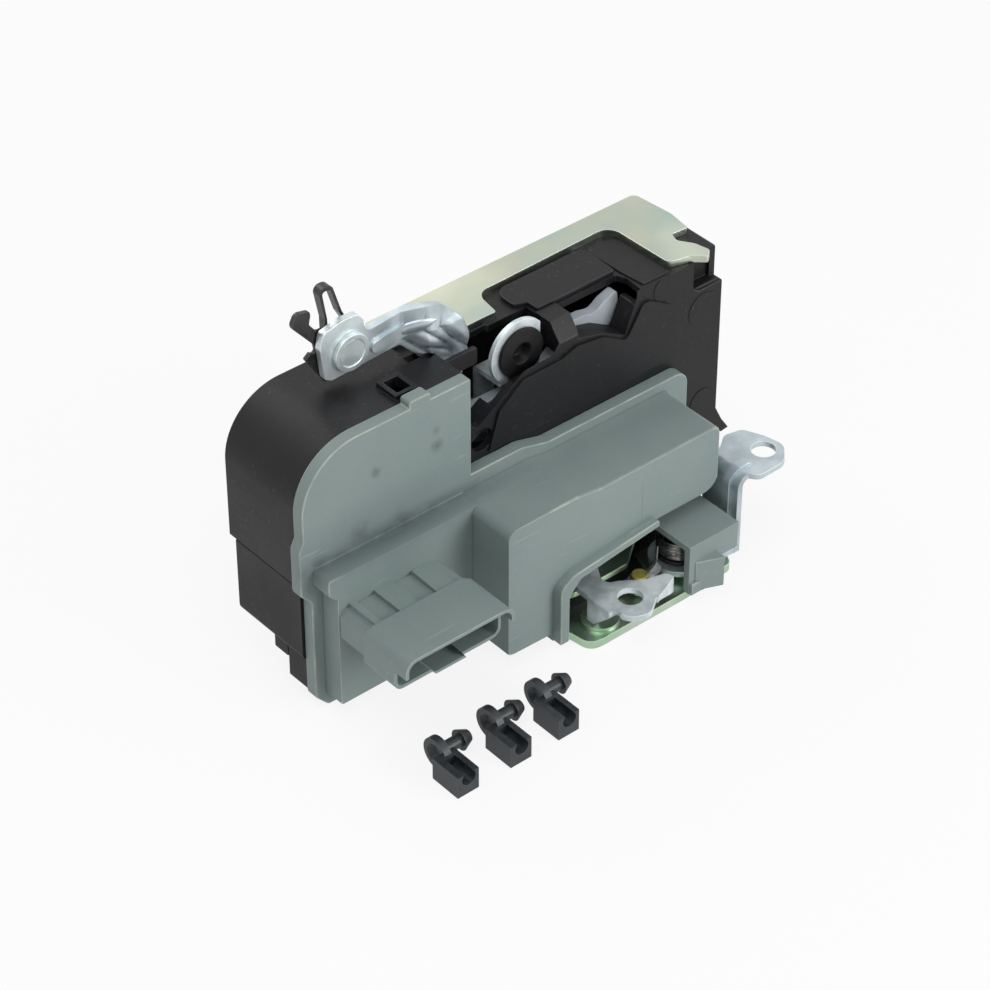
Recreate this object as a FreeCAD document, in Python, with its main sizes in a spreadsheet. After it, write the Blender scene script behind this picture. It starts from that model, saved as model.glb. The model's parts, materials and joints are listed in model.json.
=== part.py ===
"""Car door latch with its locking actuator, as separate pieces.

Millimetres, +Z up. The origin is on the underside of the base plate, below the lever housing. The front cover
faces -Y, the long side runs along X, and the whole part stands on the base plate.
"""
import FreeCAD, Part
import math
import os
from types import SimpleNamespace

VEC = FreeCAD.Vector

SIZES = {
    # housings
    "left_end": -111.0,
    "box_right": -50.0,
    "right_end": 54.3,
    "left_top": 93.0,
    "right_top": 91.0,
    "housing_deep": 33.9,
    "lower_deep": 31.0,
    "seam": 44.6,
    "seam_gap": 0.2,
    "right_floor": 28.0,
    "housing_floor": 11.4,
    "frame_step": -60.0,
    "wall": 2.4,
    "corner_round": 20.5,
    "panel_proud": 0.8,
    # front cover
    "lid_thick": 4.4,
    "lid_skin": 2.2,
    "lid_left": -112.3,
    "lid_bulge": -113.8,
    "lid_top": 93.6,
    "lid_foot": 0.4,
    "ledge_deep": 11.8,
    "ledge_left": -109.3,
    "ledge_top": 53.9,
    "ledge_floor": 5.3,
    "box_left": -55.8,
    "box_end": 28.6,
    "box_deep": 28.2,
    "box_floor": 6.5,
    "box_arch": 29.0,
    "cover_wall": 2.5,
    "rim_proud": 3.4,
    "bridge_left": 6.9,
    "bridge_right": 27.2,
    "bridge_top": 22.5,
    "bridge_front": 39.5,
    "bridge_wall": 2.4,
    # connector
    "plug_left": -106.4,
    "plug_right": -67.4,
    "plug_top": 42.6,
    "plug_low": 28.9,
    "plug_root": 12.6,
    "plug_reach": 26.5,
    "plug_wall": 1.2,
    "hood_top": 43.0,
    "hood_proud": 0.8,
    "hood_reach": 5.5,
    "hood_round": 4.2,
    "pin_pitch": 3.6,
    "pin_count": 9,
    # steel frame and latch plates
    "frame_thick": 2.5,
    "frame_back": 37.4,
    "frame_left": -56.0,
    "frame_hole": 3.3,
    "base_thick": 3.0,
    "base_left": -33.0,
    "base_right": 33.0,
    "base_front": -36.9,
    "base_back": 35.0,
    "body_tall": 6.4,
    "back_thick": 2.0,
    "slot_x": -4.0,
    "slot_wide": 14.0,
    "slot_end": 8.0,
    "nut_hole": 2.5,
    "nut_tall": 4.0,
    "nut_wide": 4.4,
    "screw_round": 1.6,
    # fork, pawl and pull lever
    "fork_x": 10.0,
    "fork_y": 10.0,
    "fork_round": 19.0,
    "fork_reach": 21.0,
    "fork_thick": 5.0,
    "fork_notch": 10.5,
    "fork_angle": 133.0,
    "pawl_x": -15.0,
    "pawl_y": -9.0,
    "pawl_thick": 4.6,
    "latch_pin": 3.6,
    "running": 0.05,
    "side_gap": 0.3,
    "pull_thick": 2.0,
    "pull_hole": 3.95,
    # ear lever
    "ear_x": 16.0,
    "ear_y": -25.0,
    "ear_level": 5.0,
    "ear_thick": 2.0,
    "ear_wall_x": 33.0,
    "ear_tab": 34.0,
    "ear_hole": 3.95,
    "ear_pin": 3.0,
    # levers on the upper pivot
    "pivot_x": -42.2,
    "pivot_z": 65.2,
    "pivot_pin": 3.0,
    "handle_level": 17.0,
    "handle_leg": 13.2,
    "handle_thick": 2.5,
    "rivet_x": -77.2,
    "rivet_z": 104.6,
    "rivet_head": 6.1,
    "rivet_shank": 3.0,
    "hook_thick": 1.5,
    "lock_level": 7.6,
    "lock_thick": 3.6,
    "eye_x": -23.3,
    "eye_z": 85.7,
    "eye_round": 10.8,
    "eye_hole": 7.0,
    "eye_flange": 8.3,
    "eye_level": 5.2,
    "eye_thick": 1.6,
    "eye_leg": 16.6,
    "eye_pivot_x": -27.0,
    "eye_pivot_z": 54.0,
    "eye_pin": 2.5,
    "pin_z": 34.2,
    # drive
    "sector_module": 1.25,
    "sector_teeth": 36,
    "small_teeth": 12,
    "wheel_module": 1.0,
    "wheel_teeth": 36,
    "motor_teeth": 10,
    "mesh_gap": 0.25,
    "axle_round": 1.5,
    "motor_round": 12.0,
    "motor_flat": 10.0,
    "motor_long": 20.0,
    "shaft_round": 1.0,
}

doc = FreeCAD.newDocument("door_latch_actuator")
sheet = doc.addObject("Spreadsheet::Sheet", "sizes")
for row, (name, value) in enumerate(SIZES.items(), start=1):
    sheet.set("A%d" % row, name)
    sheet.set("B%d" % row, str(value))
    sheet.setAlias("B%d" % row, name)
doc.recompute()
d = SimpleNamespace(**{name: float(sheet.get(name)) for name in SIZES})

pieces = []


def piece(label):
    """A new body whose label is the name of the piece."""
    body = doc.addObject("PartDesign::Body", label)
    body.Label = label
    pieces.append(body)
    return body


def circle(u, v, radius):
    """A full circle as a closed loop."""
    return [Part.Circle(VEC(u, v, 0), VEC(0, 0, 1), radius)]


def outline(*points):
    """A closed loop through points (u, v) or (u, v, radius), where a radius rounds that corner."""
    count = len(points)
    ends = []
    for index, point in enumerate(points):
        here = VEC(point[0], point[1], 0)
        if len(point) == 2:
            ends.append((here, None, here))
            continue
        before = VEC(points[index - 1][0], points[index - 1][1], 0) - here
        after = VEC(points[(index + 1) % count][0], points[(index + 1) % count][1], 0) - here
        before.normalize()
        after.normalize()
        half = before.getAngle(after) / 2
        reach = point[2] / math.tan(half)
        bisector = before + after
        bisector.normalize()
        middle = here + bisector * (point[2] / math.sin(half) - point[2])
        ends.append((here + before * reach, middle, here + after * reach))
    loop = []
    for index, (start, middle, stop) in enumerate(ends):
        if middle is not None:
            loop.append(Part.Arc(start, middle, stop))
        following = ends[(index + 1) % count][0]
        if (following - stop).Length > 1e-6:
            loop.append(Part.LineSegment(stop, following))
    return loop


def box_loop(u_low, v_low, u_high, v_high, radius=0.0):
    """A rectangle, with rounded corners when a radius is given."""
    corners = [(u_low, v_low), (u_high, v_low), (u_high, v_high), (u_low, v_high)]
    if radius:
        corners = [(u, v, radius) for u, v in corners]
    return outline(*corners)


def capsule(u1, v1, u2, v2, radius1, radius2=None):
    """The outline of a link: two round ends joined by their outer tangents."""
    radius2 = radius1 if radius2 is None else radius2
    one = VEC(u1, v1, 0)
    two = VEC(u2, v2, 0)
    along = two - one
    length = along.Length
    along.normalize()
    side = VEC(-along.y, along.x, 0)
    lean = (radius1 - radius2) / length
    rise = math.sqrt(1 - lean * lean)
    up = along * lean + side * rise
    down = along * lean - side * rise
    return [
        Part.LineSegment(one + down * radius1, two + down * radius2),
        Part.Arc(two + down * radius2, two + along * radius2, two + up * radius2),
        Part.LineSegment(two + up * radius2, one + up * radius1),
        Part.Arc(one + up * radius1, one - along * radius1, one + down * radius1),
    ]


def sketch(body, plane, at, loops):
    """A sketch of closed loops on one of the body's own planes, moved to the level at."""
    drawing = body.newObject("Sketcher::SketchObject", body.Name + "_sketch")
    base = next(item for item in body.Origin.OriginFeatures if item.Role == plane + "_Plane")
    drawing.AttachmentSupport = [(base, "")]
    drawing.MapMode = "FlatFace"
    sign = "-1" if plane == "XZ" else "1"
    drawing.setExpression("AttachmentOffset.Base.z", "%s * (%s)" % (sign, at))
    for loop in loops:
        drawing.addGeometry(loop, False)
    return drawing


def settle(body, feature):
    """Makes the feature the body's last one and checks that it came out."""
    body.Tip = feature
    doc.recompute()
    if not feature.isValid() or not body.Shape.isValid():
        raise ValueError("%s did not come out" % feature.Name)
    return feature


def pad(body, plane, loops, at, length, toward=1):
    """Adds material from the level at, along the plane's axis in the direction toward."""
    feature = body.newObject("PartDesign::Pad", body.Name + "_pad")
    feature.Profile = sketch(body, plane, at, loops)
    feature.setExpression("Length", length)
    feature.Reversed = (toward < 0) != (plane == "XZ")
    return settle(body, feature)


def pocket(body, plane, loops, at, length, toward=1):
    """Removes material from the level at, and checks that something was cut."""
    before = body.Shape.Volume
    feature = body.newObject("PartDesign::Pocket", body.Name + "_pocket")
    feature.Profile = sketch(body, plane, at, loops)
    feature.setExpression("Length", length)
    feature.Reversed = (toward > 0) != (plane == "XZ")
    settle(body, feature)
    if body.Shape.Volume > before - 0.01:
        raise ValueError("a pocket cut nothing in " + body.Label)
    return feature


def spin(body, plane, loops, axis, at="0", angle=360.0):
    """Adds a turned form: loops on a plane, spun about one of that sketch's own axes."""
    feature = body.newObject("PartDesign::Revolution", body.Name + "_spin")
    drawing = sketch(body, plane, at, loops)
    feature.Profile = drawing
    feature.ReferenceAxis = (drawing, [axis])
    feature.Angle = angle
    return settle(body, feature)


def round_edges(body, radius, wanted):
    """Rounds the edges that the test wanted(edge) picks."""
    names = ["Edge%d" % (index + 1) for index, edge in enumerate(body.Shape.Edges) if wanted(edge)]
    feature = body.newObject("PartDesign::Fillet", body.Name + "_round")
    feature.Base = (body.Tip, names)
    feature.Radius = radius
    return settle(body, feature)


def made(label, shape):
    """A piece whose shape comes from solid operations."""
    feature = doc.addObject("Part::Feature", label)
    feature.Label = label
    feature.Shape = shape
    pieces.append(feature)
    return feature


def rod(start, stop, radius):
    """A round bar between two points."""
    along = stop - start
    return Part.makeCylinder(radius, along.Length, start, along)


def gear_loop(u, v, module, teeth, phase=0.0, count=None):
    """A spur gear outline with involute-like flanks. With count it is a toothed sector around phase."""
    pitch = module * teeth / 2
    root = pitch - 1.2 * module
    tip = pitch + 0.9 * module
    step = 2 * math.pi / teeth
    thin = d.mesh_gap / 2 / pitch
    levels = [(root, 0.33), (pitch, 0.25), (pitch + 0.5 * module, 0.185), (tip, 0.115)]
    points = []
    for tooth in range(int(count or teeth)):
        turn = phase + tooth * step
        if count:
            turn -= (count - 1) * step / 2
        for radius, share in levels:
            points.append((radius, turn - share * step + thin))
        for radius, share in reversed(levels):
            points.append((radius, turn + share * step - thin))
    return [(u + radius * math.cos(turn), v + radius * math.sin(turn)) for radius, turn in points]


def coil(start, along, turns, wire, mean):
    """A close-wound coil from start in the direction along: a sleeve whose outside follows the wire's turns."""
    inner = mean - wire / 2
    outer = mean + wire / 2
    swell = wire * 0.32
    edges = []
    for turn in range(turns):
        low = turn * wire
        edges.append(Part.Arc(VEC(outer, 0, low), VEC(outer + swell, 0, low + wire / 2), VEC(outer, 0, low + wire)))
    top = turns * wire
    edges.append(Part.LineSegment(VEC(outer, 0, top), VEC(inner, 0, top)))
    edges.append(Part.LineSegment(VEC(inner, 0, top), VEC(inner, 0, 0)))
    edges.append(Part.LineSegment(VEC(inner, 0, 0), VEC(outer, 0, 0)))
    face = Part.Face(Part.Wire([edge.toShape() for edge in edges]))
    sleeve = face.revolve(VEC(0, 0, 0), VEC(0, 0, 1), 360)
    sleeve.Placement = FreeCAD.Placement(start, FreeCAD.Rotation(VEC(0, 0, 1), along))
    return sleeve


# The gear train: the sector of the lock lever turns about the upper pivot, and the wheel and motor follow it.
sector_pitch = d.sector_module * d.sector_teeth / 2
small_pitch = d.sector_module * d.small_teeth / 2
wheel_pitch = d.wheel_module * d.wheel_teeth / 2
motor_pitch = d.wheel_module * d.motor_teeth / 2
wheel_turn = math.radians(187)
motor_turn = math.radians(153)
wheel_x = d.pivot_x + (sector_pitch + small_pitch) * math.cos(wheel_turn)
wheel_z = d.pivot_z + (sector_pitch + small_pitch) * math.sin(wheel_turn)
motor_x = wheel_x + (wheel_pitch + motor_pitch) * math.cos(motor_turn)
motor_z = wheel_z + (wheel_pitch + motor_pitch) * math.sin(motor_turn)

# Main housing: the black tray that carries the levers. Its front is open behind the cover.
housing = piece("main_housing")
pad(housing, "XZ", [outline(
    (d.left_end, d.seam), (d.left_end, d.left_top, d.corner_round), (d.box_right + 8, d.left_top),
    (d.box_right + 8, d.right_top), (d.right_end, d.right_top, 1.5), (d.right_end, d.right_floor, 3),
    (d.base_right + 4, d.housing_floor, 3), (d.box_right, d.housing_floor, 2), (d.box_right, d.seam))],
    "0", "sizes.housing_deep")
inner = d.wall
pocket(housing, "XZ", [outline(
    (d.left_end + inner, d.seam - 1), (d.left_end + inner, d.left_top - inner, d.corner_round - inner),
    (d.frame_step, d.left_top - inner), (d.frame_step, d.right_top - inner),
    (d.right_end - inner, d.right_top - inner, 1), (d.right_end - inner, d.right_floor + 1, 2),
    (d.base_right + 3, d.housing_floor + inner, 2), (d.box_right + inner, d.housing_floor + inner),
    (d.box_right + inner, d.seam - 1))],
    "sizes.wall", "sizes.housing_deep - 2 * sizes.wall")
# Left of the box's right side the tray is open to the front, and so is the part behind the grey box.
pocket(housing, "XZ", [outline(
    (d.left_end + inner, d.seam - 1), (d.left_end + inner, d.left_top - inner, d.corner_round - inner),
    (d.frame_step, d.left_top - inner), (d.frame_step, d.right_top - inner), (d.box_right - 1, d.right_top - inner),
    (d.box_right - 1, d.ledge_top - 2),
    (d.box_end - 2, d.ledge_top - 2), (d.box_end - 2, d.housing_floor + inner + 2),
    (d.box_right + inner, d.housing_floor + inner + 2), (d.box_right + inner, d.seam - 1))],
    "-1", "sizes.wall + 2")
# The recess for the eye lever, open at the front and at the top.
pocket(housing, "XZ", [outline(
    (d.box_right + 0.6, 95), (d.box_right + 0.6, 72.5), (-46.7, 72.5), (-44, 70.5, 2), (-33, 77.8, 6),
    (-26, 82.6, 5), (-14.5, 83.0), (-12.0, 86.5), (-12.0, 95))],
    "-1", "sizes.wall + 1.2")
pocket(housing, "XY", [box_loop(d.box_right + 0.6, 0.2, -12.0, 15.4)], "80", "20")
# The window of the lock lever, cut from the top and the front.
window_left = -5.0
window_right = 18.7
pocket(housing, "XZ", [outline(
    (window_left, 95), (window_left, 84.6), (6, 81.6, 8), (14.1, 77.1), (window_right, 88.6), (window_right, 95))],
    "-1", "sizes.wall + 1.2")
pocket(housing, "XY", [outline(
    (window_left, 0.2), (window_right + 1.6, 0.2), (window_right + 2.2, 7.2), (window_right + 0.7, 10.6), (window_left, 10.6))],
    "86.4", "10")
# The window has deep walls down to the lock lever, and the recess has a shelf.
pad(housing, "XZ", [outline(
    (window_left - 1.4, 89), (window_left - 1.4, 83.2), (5.6, 80.0), (14.8, 74.6), (window_right + 1.4, 86.4),
    (window_right - 0.6, 86.4), (14.1, 77.1), (6, 81.6), (window_left, 84.6), (window_left, 89))],
    "sizes.wall - 0.1", "sizes.lock_level - 0.4 - sizes.wall + 0.1")
pad(housing, "XZ", [outline(
    (-49.6, 72.5), (-46.7, 72.5), (-44, 70.5), (-37.5, 74.8), (-37.5, 73.4), (-44, 69.2), (-47.5, 71.1), (-49.6, 71.1))],
    "sizes.wall - 0.1", "sizes.lock_level - 0.7 - sizes.wall + 0.1")
pad(housing, "XZ", [box_loop(-50.6, 86.8, -37.6, 92.6, 0.6)], "7.4", "1.6")
# The corner notch at the right end, and the hole in front of the upper pivot.
pocket(housing, "XZ", [outline((42.0, 79.5, 3.5), (56, 79.5), (56, 95), (42.0, 95))], "-1", "sizes.wall + 2.2")
pad(housing, "XZ", [outline(
    (40.4, 88.4), (40.4, 78.0, 3), (d.right_end - 1, 78.0), (d.right_end - 1, 80.0), (43.0, 80.0), (43.0, 88.4))],
    "1.2", "6.0")
pad(housing, "XZ", [box_loop(42.0, 79.0, d.right_end - 1.2, 89.0)], "4.8", "1.8")
pocket(housing, "XZ", [circle(d.pivot_x, d.pivot_z, 4.0)], "-1", "sizes.wall + 1.2")
# Raised panel on the front, with the big arc on its right.
pad(housing, "XZ", [outline(
    (-40, 60), (-20, 60), (33.2, 60, 3), (38.2, 68.0, 9), (33.0, 80.0, 8), (21.5, 87.0, 3), (14.3, 75.4, 2),
    (5, 81.0, 8), (-5.5, 82.6, 3), (-12, 80.6), (-27, 80.0, 4), (-36, 73.0))],
    "0", "sizes.panel_proud", toward=-1)
pocket(housing, "XY", [box_loop(d.frame_step + 2.6, 16.4, d.box_right + 9, 40)], "sizes.right_top", "5")
# Small forms on the top: the plateau inside the steel frame, the rails, the post and the square guide.
pad(housing, "XY", [outline(
    (-15.4, 17.4, 1), (-15.4, 26.6, 5), (20.4, 26.6, 3), (19.8, 11.4, 1), (-11.2, 11.4, 1), (-11.2, 15.8, 1))],
    "sizes.right_top - 0.5", "1.9")
pad(housing, "XY", [outline((22.2, 1.4), (32.4, 1.2), (32.2, 26.4, 5), (21.0, 26.4, 1), (21.2, 11.0))],
    "sizes.right_top - 0.5", "1.0")
pad(housing, "XZ", [outline((-12.2, 82.0), (-4.9, 84.2), (-4.4, 87.6), (-4.4, 91.6), (-12.2, 91.6))], "0", "11.2")
pocket(housing, "YZ", [outline((-1, 85.0), (0, 86.0), (4.6, 92.0), (4.6, 96), (-1, 96))], "-12.4", "8.4")
# A small lug at the lower right corner.
pad(housing, "XZ", [outline((49, 29.5), (54.2, 30.5), (57.2, 24.4), (60.3, 19.8), (57.0, 19.4), (49, 25))], "0", "sizes.wall")
pad(housing, "XY", [box_loop(-72.6, 2.0, -64.4, 11.2)], "sizes.left_top", "1.6")
pocket(housing, "XY", [box_loop(-71.0, 3.4, -66.0, 9.8)], "sizes.left_top - 5", "8")
pocket(housing, "XY", [box_loop(-58.0, 14.2, -52.0, 19.0)], "sizes.left_top - 5", "8")
# The slot that the handle lever's leg moves in.
pocket(housing, "XY", [box_loop(-52.5, 12.2, -27.0, 16.6)], "85", "12")
# Bosses behind the levers: they carry the pivots and the gear axle, and reach the back wall.
for boss_x, boss_z, boss_round, boss_front in (
        (d.pivot_x, d.pivot_z, 5.0, "sizes.handle_leg + sizes.handle_thick + sizes.side_gap"),
        (d.eye_pivot_x, d.eye_pivot_z, 4.5, "sizes.eye_leg + sizes.eye_thick + sizes.side_gap"),
        (wheel_x, wheel_z, 4.5, "17")):
    pad(housing, "XZ", [circle(boss_x, boss_z, boss_round)],
        boss_front, "sizes.housing_deep - 1 - (%s)" % boss_front)
pocket(housing, "XZ", [circle(d.pivot_x, d.pivot_z, d.pivot_pin), circle(d.eye_pivot_x, d.eye_pivot_z, d.eye_pin),
                       circle(wheel_x, wheel_z, d.axle_round)], "10", "20")
# Cradle of the motor: a ring on the back wall.
pad(housing, "XZ", [circle(motor_x, motor_z, d.motor_round + 1.6), circle(motor_x, motor_z, d.motor_round + 0.1)],
    "26", "sizes.housing_deep - 27")

# Lower housing: the black tray below the seam, with its two feet.
lower = piece("lower_housing")
lower_right = d.box_right - 0.3
pad(lower, "XZ", [outline(
    (d.left_end, d.seam - d.seam_gap), (d.left_end, 17, 3), (lower_right, 17), (lower_right, d.seam - d.seam_gap))],
    "0", "sizes.lower_deep")
pad(lower, "XY", [box_loop(d.left_end + 1.5, 0, lower_right - 4, 9)], "5.6", "14")
pad(lower, "XY", [box_loop(d.left_end + 2, 10.2, lower_right - 14, 16.6)], "11.6", "8")
pocket(lower, "XZ", [outline(
    (d.left_end + inner, d.seam + 1), (d.left_end + inner, 17 + inner, 2), (lower_right - inner, 17 + inner),
    (lower_right - inner, d.seam + 1))], "-1", "sizes.lower_deep - sizes.wall + 1")
pocket(lower, "XZ", [box_loop(d.left_end + 4, 8, lower_right - 7, 20)], "-1", "7.6")

# Front cover: one grey moulding of lid, flange, ledge, box, foot and bridge, hollow from behind.
cover = piece("front_cover")
lid = outline(
    (-105.5, d.lid_foot, 2), (-110, 5.5, 2), (-110, 42, 3), (d.lid_bulge, 46, 2), (d.lid_bulge, 62, 2),
    (d.lid_left, 65, 2), (d.lid_left, d.lid_top, d.corner_round), (d.box_right, d.lid_top, 0.6),
    (d.box_right, 58.8), (-30, 58.8, 6), (-20, 56, 6), (37, 56, 5), (37, d.box_arch + 1, 2),
    (0, d.box_arch - 1.5), (-30, 24.6, 3), (-34.5, 20, 1), (-34.5, 3.3), (-57, 3.3), (-60, d.lid_foot))
pad(cover, "XZ", [lid], "0", "sizes.lid_thick", toward=-1)
pad(cover, "XZ", [box_loop(-72.7, 90, -64.9, 96, 1.0)], "0", "sizes.lid_thick", toward=-1)
ledge = outline(
    (-106.2, d.ledge_floor, 1), (-106.2, 45.5), (d.ledge_left, 48.5), (d.ledge_left, d.ledge_top, 1),
    (d.box_left + 2, d.ledge_top), (d.box_left + 2, d.ledge_floor))
pad(cover, "XZ", [ledge], "0", "sizes.ledge_deep", toward=-1)
front_box = outline(
    (d.box_left, d.box_floor, 1.5), (d.box_left, 53.9, 3), (-29, 53.9, 8), (-20, 52.6, 8), (d.box_end, 52.6, 3),
    (d.box_end, d.box_arch, 6), (0, d.box_arch, 2), (-30, 25.4, 3), (-34.5, 21, 1), (-34.5, 3.3), (-38.2, 3.3),
    (-38.2, d.box_floor))
pad(cover, "XZ", [front_box], "0", "sizes.box_deep", toward=-1)
# The proud rim round the opening of the levers.
pad(cover, "XZ", [outline(
    (-38.0, 3.3, 0.5), (-38.0, 25.0, 4), (-33.0, 28.0, 4), (1.5, 31.6, 1), (1.5, d.box_arch, 0.5), (-0.2, d.box_arch, 1),
    (-30.2, 25.4, 3), (-34.5, 20.5, 1), (-34.5, 3.3, 0.5))],
    "-sizes.box_deep + 1", "1 + sizes.rim_proud", toward=-1)
thin = d.cover_wall
pocket(cover, "XZ", [outline(
    (d.box_left + thin, d.box_floor + thin, 1), (d.box_left + thin, 53.9 - thin, 1), (-29, 53.9 - thin, 6),
    (-20, 52.6 - thin, 6), (d.box_end - thin, 52.6 - thin, 1), (d.box_end - thin, d.box_arch + thin, 4),
    (0, d.box_arch + thin, 2), (-32, 25.4 + thin, 3), (-38.2, 20, 2), (-38.2 - 1.2, d.box_floor + thin))],
    "1", "sizes.box_deep - sizes.cover_wall + 1", toward=-1)
pocket(cover, "XZ", [outline(
    (-106.2 + thin, d.ledge_floor + thin), (-106.2 + thin, d.ledge_top - thin), (d.box_left + thin + 1, d.ledge_top - thin),
    (d.box_left + thin + 1, d.box_floor + thin), (d.box_left - 1, d.ledge_floor + thin))],
    "1", "sizes.ledge_deep - sizes.cover_wall + 1", toward=-1)
pocket(cover, "XZ", [outline(
    (-107.4, 56), (-107.4, 64), (d.lid_left + thin, 67), (d.lid_left + thin, d.lid_top - thin, d.corner_round - thin),
    (d.box_right - thin, d.lid_top - thin), (d.box_right - thin, 56))],
    "1", "sizes.lid_thick - sizes.lid_skin + 1", toward=-1)
# The slot that the connector sits in.
plug_mid = (d.plug_left + d.plug_right) / 2
pocket(cover, "XZ", [box_loop(d.plug_left + 6, d.pin_z - 1.2, d.plug_right - 6, d.pin_z + 2.8, 0.5)],
       "-sizes.ledge_deep + sizes.cover_wall + 1", "sizes.cover_wall + 2", toward=-1)
# The bridge: roof, back web, front leg and wedge.
pad(cover, "XY", [box_loop(d.bridge_left, -d.bridge_front, d.bridge_right, -17, 0.4)],
    "sizes.bridge_top", "sizes.bridge_wall", toward=-1)
pad(cover, "XY", [box_loop(d.bridge_left, -20, d.bridge_right - 1, -17)],
    "sizes.bridge_top - 1", "sizes.box_arch - sizes.bridge_top + 2")
pad(cover, "XZ", [outline(
    (d.bridge_left, d.bridge_top), (d.bridge_left, 4.2, 0.4), (d.bridge_left + 2.8, 4.2), (d.bridge_left + 2.8, 12.8),
    (d.bridge_right, 12.8, 0.4), (d.bridge_right, d.bridge_top))],
    "-sizes.bridge_front", "sizes.bridge_wall")
pad(cover, "XY", [outline(
    (d.bridge_left + 2.4, -d.bridge_front + 1), (d.bridge_left + 2.4, -d.bridge_front - 0.4),
    (d.bridge_left + 11.4, -d.bridge_front - 4.2, 0.5), (d.bridge_left + 11.4, -d.bridge_front + 1))],
    "4.8", "11")
pad(cover, "XZ", [box_loop(d.bridge_left + 0.4, 4.2, d.bridge_left + 4.4, 8.4)],
    "-sizes.bridge_front - 1.2", "2")

# Connector housing: a low root on the ledge, a wider shell with the mouth, and a hood with curled sides.
plug = piece("connector_housing")
root_y = -d.ledge_deep
step_y = root_y - d.plug_root
mouth_y = root_y - d.plug_reach
hood_left = d.plug_left - d.hood_proud
hood_right = d.plug_right + d.hood_proud
hood_under = d.hood_top - d.plug_wall
hood_curl = d.hood_round - d.plug_wall
panel_z = d.plug_top - 1.3
pad(plug, "XZ", [outline(
    (d.plug_left + 0.6, 31.0, 1), (d.plug_right - 0.2, 31.0, 1), (d.plug_right - 0.2, panel_z, 3.0),
    (d.plug_left + 0.6, panel_z, 3.3))],
    str(root_y), "sizes.plug_root + 1", toward=-1)
pad(plug, "XZ", [outline(
    (hood_left, d.plug_low, 3.4), (-93.2, d.plug_low), (-91.7, d.plug_low - 1.7), (-80.4, d.plug_low - 1.7),
    (-81.4, d.plug_low), (d.plug_right, d.plug_low, 3.4), (d.plug_right, d.hood_top, d.hood_round),
    (hood_left, d.hood_top, d.hood_round))],
    str(step_y), "sizes.plug_reach - sizes.plug_root", toward=-1)
pad(plug, "XZ", [outline(
    (hood_left, 36.8), (hood_left, d.hood_top, d.hood_round), (hood_right, d.hood_top, d.hood_round),
    (hood_right, 37.4), (hood_right - d.plug_wall, 37.4), (hood_right - d.plug_wall, hood_under, hood_curl),
    (hood_left + d.plug_wall, hood_under, hood_curl), (hood_left + d.plug_wall, 36.8))],
    str(step_y - 1.0), "sizes.plug_reach - sizes.plug_root - 1.0 + sizes.hood_reach", toward=-1)
for rib_left, rib_right in ((-102.3, -99.8), (-93.2, -86.1), (-79.5, -72.5)):
    pad(plug, "XZ", [outline(
        (rib_left, panel_z - 1), (rib_left, d.plug_top), (rib_right - 0.6, d.plug_top), (rib_right, panel_z),
        (rib_right, panel_z - 1))],
        str(root_y), "sizes.plug_root + 1", toward=-1)
pocket(plug, "XZ", [outline(
    (hood_left + d.plug_wall, d.plug_low + 1.2, 2.2), (-93.8, d.plug_low + 1.2), (-92.3, d.plug_low - 0.5),
    (-81.2, d.plug_low - 0.5), (-82.2, d.plug_low + 1.2), (d.plug_right - 1.1, d.plug_low + 1.2, 2.2),
    (d.plug_right - 1.1, hood_under, hood_curl), (hood_left + d.plug_wall, hood_under, hood_curl))],
    str(step_y - 1.6), "40", toward=-1)
pocket(plug, "XZ", [box_loop(d.plug_left + 2.4, 32.4, d.plug_right - 2.2, 39.6, 1.5)],
       str(root_y - 4), "12", toward=-1)
pocket(plug, "XZ", [box_loop(d.plug_left + 6.5, d.pin_z - 1.0, d.plug_right - 6.5, d.pin_z + 2.6, 0.5)],
       str(root_y + 1), "6", toward=-1)

# Pin carrier and pins of the connector.
carrier = piece("pin_carrier")
pad(carrier, "XZ", [box_loop(d.plug_left + 6.7, d.pin_z - 0.8, d.plug_right - 6.7, d.pin_z + 2.4, 0.4)],
    "-sizes.ledge_deep + sizes.cover_wall", "sizes.cover_wall + 3.6", toward=-1)
pin_xs = [plug_mid + (index - (d.pin_count - 1) / 2) * d.pin_pitch * 0.72 for index in range(int(d.pin_count))]
pocket(carrier, "XZ", [box_loop(x - 0.5, d.pin_z, x + 0.5, d.pin_z + 0.8) for x in pin_xs], "0", "30", toward=-1)
pins = [Part.makeBox(1.0, 24.0, 0.8, VEC(x - 0.5, root_y - 16.0, d.pin_z)) for x in pin_xs]
made("connector_pins", Part.makeCompound(pins))

# Contact board behind the ledge, with two switches on it.
board = piece("contact_board")
pad(board, "XZ", [box_loop(-103.0, 9.0, -58.0, 40.0, 2)], "-4.2", "1.4", toward=-1)
pocket(board, "XZ", [box_loop(x - 0.5, d.pin_z, x + 0.5, d.pin_z + 0.8) for x in pin_xs], "0", "20", toward=-1)
switches = []
for switch_x in (-96.0, -74.0):
    switches.append(Part.makeBox(12.8, 5.8, 6.5, VEC(switch_x, -4.2, 14.0)))
made("micro_switches", Part.makeCompound(switches))
posts = []
for post_x, post_z in ((-99.0, 12.6), (-62.0, 12.6), (-62.0, 36.0)):
    posts.append(rod(VEC(post_x, -5.6, post_z), VEC(post_x, -d.ledge_deep + thin, post_z), 2.2))
made("board_posts", Part.makeCompound(posts))

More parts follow.
